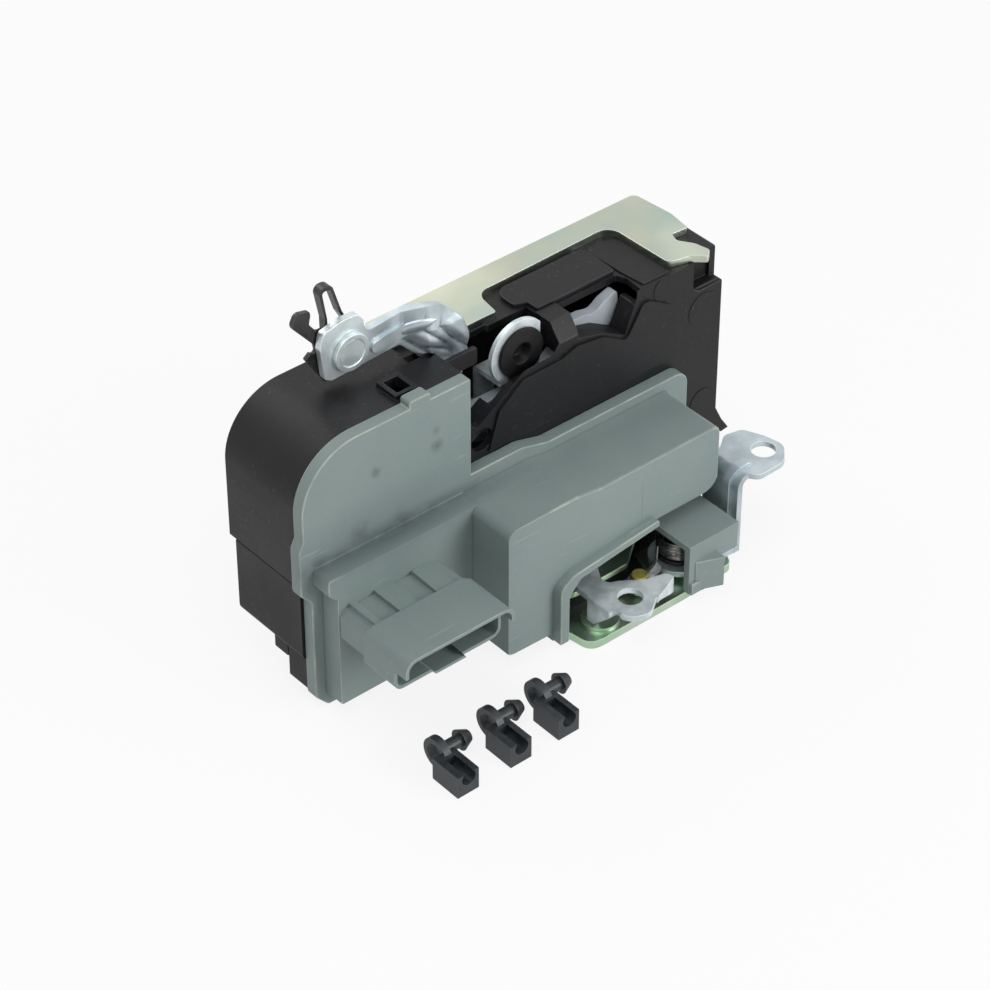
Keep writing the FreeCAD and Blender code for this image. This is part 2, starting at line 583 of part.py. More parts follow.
# Steel frame on top, with a flange down the back and two screws.
frame = piece("steel_frame")
pad(frame, "XY", [outline(
    (-57, d.frame_back, 2), (51.1, d.frame_back, 2.5), (52.5, 22, 4), (51.2, 12.9, 1), (44.9, 13.3, 1), (43.8, 9.9, 2),
    (46.9, 5.2, 2), (48.1, -0.2, 1.4), (45.3, -2.7, 1), (41.0, 1.0, 2), (37.6, 1.8, 2), (33.7, 2.9, 2), (33.1, 29.0, 5),
    (-20.7, 27.7, 5), (-22.4, 16.8, 0.8), (-45, 16.8, 1), (-47.5, 22.5, 2), (-57, 24.5, 1))], "sizes.right_top", "sizes.frame_thick")
pad(frame, "XY", [box_loop(-44, d.frame_back - d.frame_thick, 46, d.frame_back, 0.5)],
    "sizes.right_top + 1", "22", toward=-1)
frame_screw_xs = (-32.0, 34.0)
frame_screw_z = 77.0
pocket(frame, "XZ", [circle(x, frame_screw_z, d.frame_hole) for x in frame_screw_xs], "30", "10")
for x in frame_screw_xs:
    pad(housing, "XZ", [circle(x, frame_screw_z, 6.0)],
        "sizes.housing_deep - 1", "sizes.frame_back - sizes.frame_thick - sizes.housing_deep + 1")
pocket(housing, "XZ", [circle(x, frame_screw_z, d.frame_hole - 0.3) for x in frame_screw_xs], "24", "14")
screws = []
for x in frame_screw_xs:
    shank = rod(VEC(x, d.frame_back - 9.5, frame_screw_z), VEC(x, d.frame_back + 0.4, frame_screw_z), d.frame_hole - 0.3)
    head_form = rod(VEC(x, d.frame_back, frame_screw_z), VEC(x, d.frame_back + 3, frame_screw_z), 5.2)
    drive = Part.makeBox(4, 2, 4, VEC(x - 2, d.frame_back + 1.4, frame_screw_z - 2))
    screws.append(shank.fuse(head_form).cut(drive))
made("frame_screws", Part.makeCompound(screws))

# Base plate with three tapped collars, the striker slot and the rivet holes.
slot_half = d.slot_wide / 2
slot = outline(
    (d.slot_x - slot_half, 60), (d.slot_x - slot_half, d.slot_end - slot_half, slot_half - 0.01),
    (d.slot_x + slot_half, d.slot_end - slot_half, slot_half - 0.01), (d.slot_x + slot_half, 60))
collars = ((-26.0, 27.0), (28.0, 30.2), (-27.3, -4.0))
latch_screws = ((-22.0, 12.0), (15.5, 32.9))
base = piece("base_plate")
pad(base, "XY", [outline(
    (d.base_left, d.base_back, 2), (d.base_left, -22, 3), (-31.3, -29.2, 4), (-30.2, -36.4, 4.2), (-25, d.base_front, 2),
    (8.6, d.base_front, 8), (28.6, -35.6, 3), (31.0, -31, 2), (d.base_right, -22, 3),
    (d.base_right, d.base_back, 2))], "0", "sizes.base_thick")
pad(base, "XY", [circle(x, y, d.nut_wide) for x, y in collars], "1", "sizes.base_thick - 1 + sizes.nut_tall")
pad(base, "XY", [circle(-20.6, -29.8, 6.0)], "1", "3.3")
pocket(base, "XY", [circle(x, y, d.nut_hole) for x, y in collars], "-1", "20")
pocket(base, "XY", [slot], "-1", "10")
pocket(base, "XY", [circle(d.fork_x, d.fork_y, d.latch_pin), circle(d.pawl_x, d.pawl_y, d.latch_pin),
                    circle(d.ear_x, d.ear_y, d.ear_pin)]
       + [circle(x, y, d.screw_round + 0.1) for x, y in latch_screws], "-1", "10")
pocket(base, "XY", [circle(x, y, 3.1) for x, y in latch_screws], "-1", "3.3")

# Black latch body between the plates, with the hollows of the fork, the pawl and the slot.
carcass = piece("latch_body")
pad(carcass, "XY", [outline(
    (d.base_left, d.base_back - 0.2, 2), (d.base_left, -14, 3), (-26, -20.5, 3), (6, -20.5), (8.2, -13.4), (28, -13.4, 3),
    (d.base_right, -8, 3), (d.base_right, d.base_back - 0.2, 2))], "sizes.base_thick", "sizes.body_tall")
pocket(carcass, "XY", [circle(d.fork_x, d.fork_y, d.fork_reach + 0.4)], "sizes.base_thick + 0.4", "20")
pocket(carcass, "XY", [slot], "0", "20")
pocket(carcass, "XY", [outline(
    (-21.6, -2.6, 3), (-21.6, -15.6, 3), (-18.6, -18.7, 2), (-1, -18.7), (-1, -24), (8.1, -24), (8.1, -9), (-8.4, -8.4),
    (-8.4, -2.6, 2))], "sizes.base_thick + 0.4", "20")
pocket(carcass, "XY", [circle(d.fork_x, d.fork_y, d.latch_pin), circle(d.pawl_x, d.pawl_y, d.latch_pin)], "0", "20")
pocket(carcass, "XY", [circle(x, y, d.nut_wide + 0.2) for x, y in (collars[0], collars[2])], "0", "20")
pocket(carcass, "XY", [box_loop(collars[1][0] - 5, collars[1][1] - 5, 40, 40)], "0", "20")
pocket(carcass, "XY", [circle(x, y, d.screw_round + 0.1) for x, y in latch_screws], "0", "20")
bumper_left = d.slot_x - slot_half - 4.5
pocket(carcass, "XY", [box_loop(bumper_left, 2.8, -8, 13.2)], "0", "20")
bumper = piece("striker_bumper")
pad(bumper, "XY", [box_loop(bumper_left, 2.8, bumper_left + 4.3, 13.2, 0.8)], "sizes.base_thick", "sizes.body_tall")

# Chromated back plate.
back = piece("latch_back_plate")
pad(back, "XY", [outline(
    (d.base_left, d.base_back - 0.2, 2), (d.base_left, -15, 3), (-26, -22.6, 5), (-3, -22.6, 5), (8, -14.2, 4), (28, -14.2, 4),
    (d.base_right, -8, 3), (d.base_right, d.base_back - 0.2, 2))], "sizes.base_thick + sizes.body_tall", "sizes.back_thick")
pocket(back, "XY", [slot], "5", "10")
pocket(back, "XY", [circle(d.fork_x, d.fork_y, d.latch_pin), circle(d.pawl_x, d.pawl_y, d.latch_pin)]
       + [circle(x, y, d.screw_round + 0.1) for x, y in latch_screws], "5", "10")
back_level = d.base_thick + d.body_tall + d.back_thick
screws = []
for x, y in latch_screws:
    shank = rod(VEC(x, y, 1.6), VEC(x, y, back_level + 5.4), d.screw_round)
    head_form = rod(VEC(x, y, 0.3), VEC(x, y, 2.3), 3.0)
    drive = Part.makeBox(2.4, 2.4, 1.2, VEC(x - 1.2, y - 1.2, 0.2))
    screws.append(shank.fuse(head_form).cut(drive))
    pad(housing, "XY", [circle(x, min(y, d.housing_deep - 3.5), 3.4)], "sizes.housing_floor + 1", "6")
made("latch_screws", Part.makeCompound(screws))
pocket(housing, "XY", [circle(x, y, d.screw_round) for x, y in latch_screws], "0", "17.2")

# Fork and its pin. At rest the notch faces the striker's way in.
fork_low = d.base_thick + 0.5


def around(x, y, radius, first, last, step=6.0):
    """Points on an arc about (x, y), from one angle to the other."""
    count = max(2, int(abs(last - first) / step) + 1)
    turns = [math.radians(first + (last - first) * index / (count - 1)) for index in range(count)]
    return [(x + radius * math.cos(turn), y + radius * math.sin(turn)) for turn in turns]


notch_half = math.degrees(math.asin(d.fork_notch / 2 / d.fork_reach))
notch_x = d.fork_x + 14 * math.cos(math.radians(d.fork_angle))
notch_y = d.fork_y + 14 * math.sin(math.radians(d.fork_angle))
fork_points = []
fork_points += around(d.fork_x, d.fork_y, d.fork_reach, d.fork_angle + notch_half, 185)
fork_points += around(d.fork_x, d.fork_y, 15.6, 189, 204.5)
fork_points += around(d.fork_x, d.fork_y, d.fork_round, 207, 275)
fork_points += around(d.fork_x, d.fork_y, 10.0, 292, 412)
fork_points += around(d.fork_x, d.fork_y, d.fork_reach, 434, 360 + d.fork_angle - notch_half)
fork_points += around(notch_x, notch_y, d.fork_notch / 2, d.fork_angle - 90, d.fork_angle - 270, 12)
fork = piece("fork")
pad(fork, "XY", [outline(*fork_points)], str(fork_low), "sizes.fork_thick")
pocket(fork, "XY", [circle(d.fork_x, d.fork_y, d.latch_pin + d.running)], "0", "20")
pocket(fork, "XY", [circle(d.fork_x, d.fork_y, 7.2)], str(fork_low + d.fork_thick - 2.4), "5")
made("fork_pin", rod(VEC(d.fork_x, d.fork_y, 0), VEC(d.fork_x, d.fork_y, back_level), d.latch_pin))
made("fork_spring", coil(VEC(d.fork_x, d.fork_y, fork_low + d.fork_thick - 2.4), VEC(0, 0, 1), 2, 1.2, 5.4))

# Pawl, pull lever, their common pin and the springs beside them.
pawl = piece("pawl")
pad(pawl, "XY", [outline(
    (-15, -9.15), (7.2, -9.15, 0.5), (7.2, -13.4, 1.5), (-8, -14.2, 5), (-15, -14.4))], str(fork_low), "sizes.pawl_thick")
pad(pawl, "XY", [circle(d.pawl_x, d.pawl_y, 5.6)], str(fork_low), "sizes.pawl_thick")
pocket(pawl, "XY", [circle(d.pawl_x, d.pawl_y, d.latch_pin + d.running)], "0", "20")
pull_low = back_level + d.side_gap
pull_top = pull_low + d.pull_thick
pull = piece("pull_lever")
pad(pull, "XY", [outline(
    (-22.0, -9), (-24.4, -24, 6), (-24.4, -35.0, 3), (-21.6, -44.4, 5.5), (-15.2, -46.6, 4), (-9.4, -42.4, 2), (1.6, -37.6, 1.2),
    (0.6, -35.4, 1.2), (-5.8, -33.8, 4), (-12.6, -29.0, 4), (-17.4, -27.0, 3), (-9.5, -14), (-8, -9))],
    str(pull_low), "sizes.pull_thick")
pad(pull, "XY", [circle(d.pawl_x, d.pawl_y, 7.0)], str(pull_low), "sizes.pull_thick")
# Its two folded flanks, both cut off at a slant.
pad(pull, "XY", [box_loop(-24.9, -38.6, -22.9, -28.4, 0.4)], "4.8", str(pull_top - 4.8))
pocket(pull, "YZ", [outline((-41, 14.5), (-38.9, 11.9), (-31.8, 4.9), (-31.8, 3), (-41, 3))], "-26", "4")
pad(pull, "XY", [outline((-9.0, -42.9), (1.9, -38.4, 0.6), (1.0, -36.4), (-9.6, -40.8))], "7.4", str(pull_top - 7.4))
pocket(pull, "XZ", [outline((-12, 5), (-12, pull_low), (-7.6, pull_low), (0.4, 7.9), (3, 7.4), (3, 5))], "-50", "16")
pocket(pull, "XY", [circle(d.pawl_x, d.pawl_y, d.latch_pin + d.running), circle(-14.9, -36.9, d.pull_hole)], "0", "20")
made("pawl_pin", rod(VEC(d.pawl_x, d.pawl_y, 0), VEC(d.pawl_x, d.pawl_y, 20.4), d.latch_pin)
     .fuse(rod(VEC(d.pawl_x, d.pawl_y, 19.4), VEC(d.pawl_x, d.pawl_y, 20.6), 5.4)))
made("pull_spring", coil(VEC(d.pawl_x, d.pawl_y, pull_top + 0.3), VEC(0, 0, 1), 4, 1.3, 5.0))
made("spring_post", rod(VEC(-2, -27, d.base_thick), VEC(-2, -27, 9.4), 1.7).fuse(rod(VEC(-2, -27, 8.4), VEC(-2, -27, 9.6), 2.5)))
made("pawl_spring", coil(VEC(-2, -27, d.base_thick + 0.2), VEC(0, 0, 1), 4, 1.1, 3.0))

# Ear lever, its pin, spool and spring.
ear_top = d.ear_level + d.ear_thick
ear = piece("ear_lever")
pad(ear, "XY", [circle(d.ear_x, d.ear_y, 9.5)], "sizes.ear_level", "sizes.ear_thick")
pad(ear, "XY", [outline((d.ear_x + 2, -33.6), (d.ear_wall_x - 1, -34.6, 1), (d.ear_wall_x - 1, -19.2, 1), (d.ear_x + 2, -16.4))],
    "sizes.ear_level", "sizes.ear_thick")
ear_side = d.ear_wall_x - d.ear_thick
pad(ear, "XZ", [outline(
    (ear_side, d.ear_level), (ear_side, d.ear_tab, 4.2), (d.ear_wall_x + 5, d.ear_tab), (d.ear_wall_x + 5, d.ear_tab - d.ear_thick),
    (d.ear_wall_x, d.ear_tab - d.ear_thick, 2.2), (d.ear_wall_x, d.ear_level))], "-34.6", "15.4")
pad(ear, "XY", [outline(
    (d.ear_wall_x + 2.4, -34.6), (d.ear_wall_x + 4.4, -37.4, 3), (48.2, -37.2, 6), (54.0, -31.0, 5), (52.6, -24, 5),
    (49.4, -16.8, 3), (43, -15.4, 3), (38, -19.0, 4), (d.ear_wall_x + 2.4, -19.2))], "sizes.ear_tab", "sizes.ear_thick", toward=-1)
# The stiffening bead over the bend.
pad(ear, "XZ", [outline(
    (ear_side + 0.4, 14.5), (ear_side - 1.0, 17.0, 1.2), (ear_side - 1.0, d.ear_tab + 1.0, 5.0), (38.4, d.ear_tab + 1.0, 1.2),
    (40.6, d.ear_tab - 0.4), (36.4, d.ear_tab - 0.4), (ear_side + 0.4, d.ear_tab - 5.5))], "-31.6", "3.0")
pocket(ear, "XY", [circle(d.ear_x, d.ear_y, d.ear_pin + d.running), circle(47.3, -28.6, d.ear_hole)], "0", "50")
made("ear_pin", rod(VEC(d.ear_x, d.ear_y, 0), VEC(d.ear_x, d.ear_y, 19.6), d.ear_pin)
     .fuse(rod(VEC(d.ear_x, d.ear_y, d.base_thick), VEC(d.ear_x, d.ear_y, d.ear_level - d.side_gap), 5.2)))
spool = (rod(VEC(d.ear_x, d.ear_y, ear_top + d.side_gap), VEC(d.ear_x, d.ear_y, 18.6), 4.6)
         .fuse(rod(VEC(d.ear_x, d.ear_y, ear_top + d.side_gap), VEC(d.ear_x, d.ear_y, 8.6), 7.0))
         .fuse(rod(VEC(d.ear_x, d.ear_y, 16.9), VEC(d.ear_x, d.ear_y, 18.6), 6.2))
         .cut(rod(VEC(d.ear_x, d.ear_y, 0), VEC(d.ear_x, d.ear_y, 30), d.ear_pin)))
made("ear_spool", spool)
made("ear_spring", coil(VEC(d.ear_x, d.ear_y, 8.8), VEC(0, 0, 1), 5, 1.5, 5.9))

# Handle lever: one joggled sheet, cut from its silhouette by the two faces of the bend.
handle = piece("handle_lever")
handle_back = d.handle_level + d.handle_thick
leg_back = d.handle_leg + d.handle_thick
pad(handle, "XZ", [outline(
    (-46.6, 66), (-46.2, 85, 4), (-48.8, 92.6, 2), (-55.2, 94.7, 2), (-59.2, 98.4, 2), (-83.8, 97.1, 1.5), (-86.3, 98.4, 1.2),
    (-87.6, 109.2, 4), (-86.6, 114.3, 2), (-79.2, 116, 4), (-73.9, 115.8, 2), (-71.9, 113.3, 1), (-71.4, 108.2, 3),
    (-50.5, 110.3, 5), (-45.7, 108.4, 3), (-39.1, 100.8, 5), (-37, 95.3, 5), (-36.2, 88.8, 2.5), (-38.6, 81, 3), (-38.8, 66))],
    "sizes.handle_leg", "sizes.handle_level + sizes.handle_thick - sizes.handle_leg")
pocket(handle, "XY", [outline(
    (-100, 5), (-100, d.handle_level), (-58.5, d.handle_level, 3), (-51, d.handle_leg, 3), (-30, d.handle_leg), (-30, 5))],
    "50", "80")
pocket(handle, "XY", [outline(
    (-100, 30), (-100, handle_back), (-57.5, handle_back, 3), (-50, leg_back, 3), (-30, leg_back), (-30, 30))], "50", "80")
pad(handle, "XZ", [circle(d.pivot_x, d.pivot_z, 7.2)], "sizes.handle_leg", "sizes.handle_thick")
pad(handle, "XZ", [capsule(-67.4, 102.0, -57.4, 103.2, 2.2)], "sizes.handle_level + 0.5", "1.4", toward=-1)
pocket(handle, "XZ", [circle(d.pivot_x, d.pivot_z, d.pivot_pin + d.running), circle(d.rivet_x, d.rivet_z, d.rivet_shank)],
       "0", "30")
made("lever_pivot_pin", rod(VEC(d.pivot_x, 5.4, d.pivot_z), VEC(d.pivot_x, 29.8, d.pivot_z), d.pivot_pin)
     .fuse(rod(VEC(d.pivot_x, 5.4, d.pivot_z), VEC(d.pivot_x, 7.0, d.pivot_z), 4.4)))
hook_front = handle_back + 0.4
hook_back = hook_front + d.hook_thick
rivet = rod(VEC(d.rivet_x, d.handle_level - 1.6, d.rivet_z), VEC(d.rivet_x, d.handle_level, d.rivet_z), d.rivet_head)
rivet = rivet.fuse(rod(VEC(d.rivet_x, d.handle_level - 1.6, d.rivet_z), VEC(d.rivet_x, hook_back + 0.3, d.rivet_z), d.rivet_shank))
rivet = rivet.fuse(rod(VEC(d.rivet_x, hook_back + 0.3, d.rivet_z), VEC(d.rivet_x, hook_back + 1.4, d.rivet_z), 4.6))
rivet = rivet.cut(rod(VEC(d.rivet_x, d.handle_level - 2, d.rivet_z), VEC(d.rivet_x, d.handle_level - 1.4, d.rivet_z), 4.5))
made("lever_rivet", rivet)
made("handle_spring", coil(VEC(d.pivot_x, leg_back + 1.4, d.pivot_z), VEC(0, 1, 0), 5, 1.4, 6.2))

# Rod hook behind the handle lever, with its hairpin strip.
hook = piece("rod_hook")
pad(hook, "XZ", [outline(
    (-84.0, 95.0, 1), (-90.8, 105.8, 0.5), (-88.8, 107.4, 0.4), (-86.6, 105.4, 0.8), (-87.4, 109.6, 2), (-95.4, 119.2, 2.2),
    (-93.4, 123.0, 1.8), (-88.4, 121.8, 1.2), (-88.4, 120.0, 0.5), (-89.0, 117.4, 1.4), (-86.2, 113.8, 2), (-78, 112.8, 2),
    (-72.4, 110.4, 3), (-72, 100, 4), (-76, 96.4, 2))],
    str(hook_front), "sizes.hook_thick")
pocket(hook, "XZ", [circle(d.rivet_x, d.rivet_z, d.rivet_shank + d.running)], "0", "40")
strip = piece("hook_spring")
pad(strip, "XZ", [outline(
    (-82.1, 109.6), (-82.2, 115.2, 2), (-84.4, 126.4, 2.0), (-79.4, 126.2, 2.4), (-76.1, 115.6, 3), (-73.9, 111.4),
    (-74.6, 110.8), (-77.0, 115.3, 3), (-79.9, 124.6, 1.2), (-83.0, 125.0, 1.0), (-81.4, 115.2, 2), (-81.3, 109.6))],
    str(hook_back), "3.0")

# Eye lever with its black bush, pin and spring.
eye_low = d.eye_z - d.eye_round
tongue_low = 76.0
eye_front = d.eye_level
eye_leg = d.eye_leg
eye = piece("eye_lever")
pad(eye, "XZ", [circle(d.eye_x, d.eye_z, d.eye_round), circle(d.eye_x, d.eye_z, d.eye_hole)],
    "sizes.eye_level", "sizes.eye_thick")
pad(eye, "YZ", [outline(
    (eye_front, eye_low + 2.4), (eye_front, tongue_low - 0.5, 1.2), (eye_leg, tongue_low - 0.5, 0.4), (eye_leg, 54),
    (eye_leg + 1.6, 54), (eye_leg + 1.6, tongue_low + 1.1, 1.6), (eye_front + 1.6, tongue_low + 1.1, 0.4),
    (eye_front + 1.6, eye_low + 2.4))], "-30.4", "7")
pocket(eye, "XZ", [box_loop(d.eye_x + d.eye_hole + 1.1, 70, -5, 100)], "5", "2")
pad(eye, "XZ", [circle(d.eye_pivot_x, d.eye_pivot_z, 6.0)], "sizes.eye_leg", "1.6")
pocket(eye, "XZ", [circle(d.eye_pivot_x, d.eye_pivot_z, d.eye_pin + d.running)], "10", "20")
bush_front = eye_front - 1.4
bush = Part.makeCylinder(d.eye_hole, 3.0, VEC(d.eye_x, bush_front, d.eye_z), VEC(0, 1, 0))
bush = bush.fuse(Part.makeCylinder(d.eye_flange, 1.4, VEC(d.eye_x, bush_front, d.eye_z), VEC(0, 1, 0)))
bush = bush.fuse(Part.makeCylinder(d.eye_hole + 0.6, 0.8, VEC(d.eye_x, eye_front + 1.6, d.eye_z), VEC(0, 1, 0)))
bush = bush.cut(Part.makeCone(3.5, 2.1, 3.0, VEC(d.eye_x, bush_front, d.eye_z), VEC(0, 1, 0)))
made("eye_bush", bush)
made("eye_pivot_pin", rod(VEC(d.eye_pivot_x, eye_leg - 1.7, d.eye_pivot_z), VEC(d.eye_pivot_x, 29.8, d.eye_pivot_z), d.eye_pin)
     .fuse(rod(VEC(d.eye_pivot_x, eye_leg - 1.7, d.eye_pivot_z), VEC(d.eye_pivot_x, eye_leg - 0.3, d.eye_pivot_z), 4.0)))
made("eye_spring", coil(VEC(d.eye_pivot_x, eye_leg + 2.6, d.eye_pivot_z), VEC(0, 1, 0), 4, 1.2, 5.5))

# Lock lever with its toothed sector, turned by the motor through the wheel.
lock = piece("lock_lever")
teeth = gear_loop(d.pivot_x, d.pivot_z, d.sector_module, d.sector_teeth, math.radians(197), 6)
inside = [(d.pivot_x + 5 * math.cos(math.radians(turn)), d.pivot_z + 5 * math.sin(math.radians(turn))) for turn in (250, 144)]
pad(lock, "XZ", [outline(*(teeth + inside))], "sizes.lock_level", "sizes.lock_thick")
pad(lock, "XZ", [circle(d.pivot_x, d.pivot_z, 5.7)], "sizes.lock_level - sizes.side_gap", "sizes.handle_leg - sizes.lock_level")
pad(lock, "XZ", [capsule(d.pivot_x, d.pivot_z, -14, 66.5, 5.5, 4.4)], "sizes.lock_level", "sizes.lock_thick")
pad(lock, "XZ", [capsule(-14, 66.5, 2, 78.5, 4.4)], "sizes.lock_level", "sizes.lock_thick")
pad(lock, "XZ", [outline(
    (-2, 76), (-2.6, 84.9, 2), (4, 84.8, 4), (8.6, 83.6, 4), (12.2, 86.2, 3), (17.6, 88.0, 1), (18.4, 80.4, 3), (14.6, 76.4, 2), (4, 72, 2))],
    "sizes.lock_level", "sizes.lock_thick")
pocket(lock, "XZ", [circle(d.pivot_x, d.pivot_z, d.pivot_pin + d.running)], "0", "30")

# Two-step wheel on its axle, motor pinion, rotor, can and cap.
wheel = piece("drive_wheel")
wheel_front = 3.0
pad(wheel, "XZ", [outline(*gear_loop(wheel_x, wheel_z, d.wheel_module, d.wheel_teeth, math.radians(158)))],
    str(wheel_front), "4")
pad(wheel, "XZ", [outline(*gear_loop(wheel_x, wheel_z, d.sector_module, d.small_teeth, math.radians(7)))],
    str(wheel_front + 3), "5.6")
pad(wheel, "XZ", [circle(wheel_x, wheel_z, 3.4)], str(wheel_front + 8), str(17 - d.side_gap - wheel_front - 8))
pocket(wheel, "XZ", [circle(wheel_x, wheel_z, d.axle_round + d.running)], "0", "30")
made("gear_axle", rod(VEC(wheel_x, 1.4, wheel_z), VEC(wheel_x, 29.8, wheel_z), d.axle_round)
     .fuse(rod(VEC(wheel_x, 1.4, wheel_z), VEC(wheel_x, wheel_front - d.side_gap, wheel_z), 3.2)))
pinion = piece("motor_pinion")
pad(pinion, "XZ", [outline(*gear_loop(motor_x, motor_z, d.wheel_module, d.motor_teeth, math.radians(-27)))],
    str(wheel_front - 0.2), "4.8")
pocket(pinion, "XZ", [circle(motor_x, motor_z, d.shaft_round)], "0", "20")
motor_front = 8.4
motor_back = motor_front + d.motor_long
rotor = rod(VEC(motor_x, wheel_front - 0.6, motor_z), VEC(motor_x, motor_back + 1.6, motor_z), d.shaft_round)
rotor = rotor.fuse(rod(VEC(motor_x, motor_front + 3, motor_z), VEC(motor_x, motor_back - 3, motor_z), 7.6))
made("motor_rotor", rotor)
can = rod(VEC(motor_x, motor_front, motor_z), VEC(motor_x, motor_back, motor_z), d.motor_round)
flat = Part.makeBox(60, 60, 2 * d.motor_flat, VEC(motor_x - 30, 0, motor_z - d.motor_flat))
can = can.common(flat)
hollow = rod(VEC(motor_x, motor_front + 1.2, motor_z), VEC(motor_x, motor_back, motor_z), d.motor_round - 1.2)
hollow = hollow.common(Part.makeBox(60, 60, 2 * d.motor_flat - 2.4, VEC(motor_x - 30, 0, motor_z - d.motor_flat + 1.2)))
can = can.cut(hollow).cut(rod(VEC(motor_x, 0, motor_z), VEC(motor_x, motor_front + 2, motor_z), d.shaft_round + d.running))
made("motor_can", can)
cap = rod(VEC(motor_x, motor_back, motor_z), VEC(motor_x, motor_back + 2.6, motor_z), d.motor_round - 0.4).common(flat)
cap = cap.cut(rod(VEC(motor_x, motor_back - 1, motor_z), VEC(motor_x, motor_back + 1.9, motor_z), d.shaft_round + d.running))
made("motor_cap", cap)

# Three loose rod clips that lie in front.
clips = []
for clip_x in (0.0, 20.0, 38.4):
    disc = rod(VEC(-99.0, -45.9, 5.6), VEC(-96.4, -45.9, 5.6), 5.2)
    dish = Part.makeCone(3.4, 1.6, 1.6, VEC(-99.0, -45.9, 5.6), VEC(1, 0, 0))
    stem = rod(VEC(-96.4, -45.9, 5.6), VEC(-89.6, -45.9, 5.6), 2.1)
    snap = Part.makeCone(3.5, 1.9, 3.6, VEC(-89.8, -45.9, 5.6), VEC(1, 0, 0))
    block = Part.makeBox(8.0, 11.5, 7.8, VEC(-102.2, -60.2, 0))
    groove = rod(VEC(-98.0, -70, 5.9), VEC(-98.0, -51.5, 5.9), 2.5)
    mouth = Part.makeBox(3.4, 9.5, 6, VEC(-99.7, -61, 5.9))
    clip = block.cut(groove).cut(mouth).fuse(disc).cut(dish).fuse(stem).fuse(snap)
    clip.translate(VEC(clip_x, 0, 0))
    clips.append(clip)
made("rod_clips", Part.makeCompound(clips))

doc.recompute()
os.makedirs("parts", exist_ok=True)
for item in doc.Objects:
    if "Invalid" in item.State or "Error" in item.State:
        raise ValueError("%s is %s" % (item.Name, item.State))
for item in pieces:
    if item.Shape.isNull() or not item.Shape.isValid():
        raise ValueError(item.Label + " has no valid shape")
    item.Shape.exportStep("parts/%s.step" % item.Label)
    print("%-20s solids %d volume %.0f" % (item.Label, len(item.Shape.Solids), item.Shape.Volume))
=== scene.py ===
import json
import math

import bmesh
import bpy
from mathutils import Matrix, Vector, noise
from mathutils.bvhtree import BVHTree
from mathutils.kdtree import KDTree

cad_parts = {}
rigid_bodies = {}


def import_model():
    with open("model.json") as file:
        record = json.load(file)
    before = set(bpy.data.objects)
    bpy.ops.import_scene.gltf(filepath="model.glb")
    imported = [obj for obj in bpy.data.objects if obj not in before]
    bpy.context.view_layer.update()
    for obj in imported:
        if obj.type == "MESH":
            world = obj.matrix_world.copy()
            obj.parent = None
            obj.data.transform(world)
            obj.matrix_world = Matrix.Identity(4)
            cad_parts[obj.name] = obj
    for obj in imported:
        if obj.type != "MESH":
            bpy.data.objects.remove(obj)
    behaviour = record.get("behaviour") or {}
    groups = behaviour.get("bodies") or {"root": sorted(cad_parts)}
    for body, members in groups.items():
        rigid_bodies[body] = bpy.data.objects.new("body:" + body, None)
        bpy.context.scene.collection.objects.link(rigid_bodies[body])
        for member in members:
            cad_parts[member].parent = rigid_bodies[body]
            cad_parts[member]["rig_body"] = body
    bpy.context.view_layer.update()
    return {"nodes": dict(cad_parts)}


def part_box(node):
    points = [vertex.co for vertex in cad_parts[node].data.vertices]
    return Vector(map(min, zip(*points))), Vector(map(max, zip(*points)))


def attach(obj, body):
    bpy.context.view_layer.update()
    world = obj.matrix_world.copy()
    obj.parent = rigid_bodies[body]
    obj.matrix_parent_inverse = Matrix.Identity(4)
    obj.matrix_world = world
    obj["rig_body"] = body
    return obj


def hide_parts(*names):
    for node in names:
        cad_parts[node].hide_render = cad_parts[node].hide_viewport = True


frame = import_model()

# The view: the latch is seen from its upper left in front, through a long lens that flattens it.
# The direction was measured from the upright edges of the housing and the long edges of the cover.
towards_eye = Vector((-0.5076, -0.5985, 0.6198))
eye = bpy.data.objects.new("view", bpy.data.cameras.new("view"))
eye.location = (-0.55479, -0.61031, 0.67393)
eye.rotation_euler = (-towards_eye).to_track_quat("-Z", "Y").to_euler()
eye.data.lens = 123.64
eye.data.sensor_width = 36
eye.data.clip_start = 0.05
bpy.context.scene.collection.objects.link(eye)
bpy.context.scene.camera = eye
bpy.context.scene.view_settings.view_transform = "Standard"


# The table and the light: a sheet of white paper under a bright, even studio, with the stronger
# lamp low in front on the right, so the cover's front is lighter than its top.
class Tone:
    """A value or colour that runs through a material. Sums on it add nodes."""

    def __init__(self, finish, socket):
        self.finish = finish
        self.socket = socket

    def __add__(self, other):
        return self.finish.add("ShaderNodeMath", {"operation": "ADD"}, [self, other])

    __radd__ = __add__

    def __mul__(self, other):
        return self.finish.add("ShaderNodeMath", {"operation": "MULTIPLY"}, [self, other])

    __rmul__ = __mul__

    def between(self, low, high, first=0.0, last=1.0):
        """Runs from first to last while this tone goes from low to high."""
        return self.finish.add("ShaderNodeMapRange", {"clamp": True}, [self, low, high, first, last])


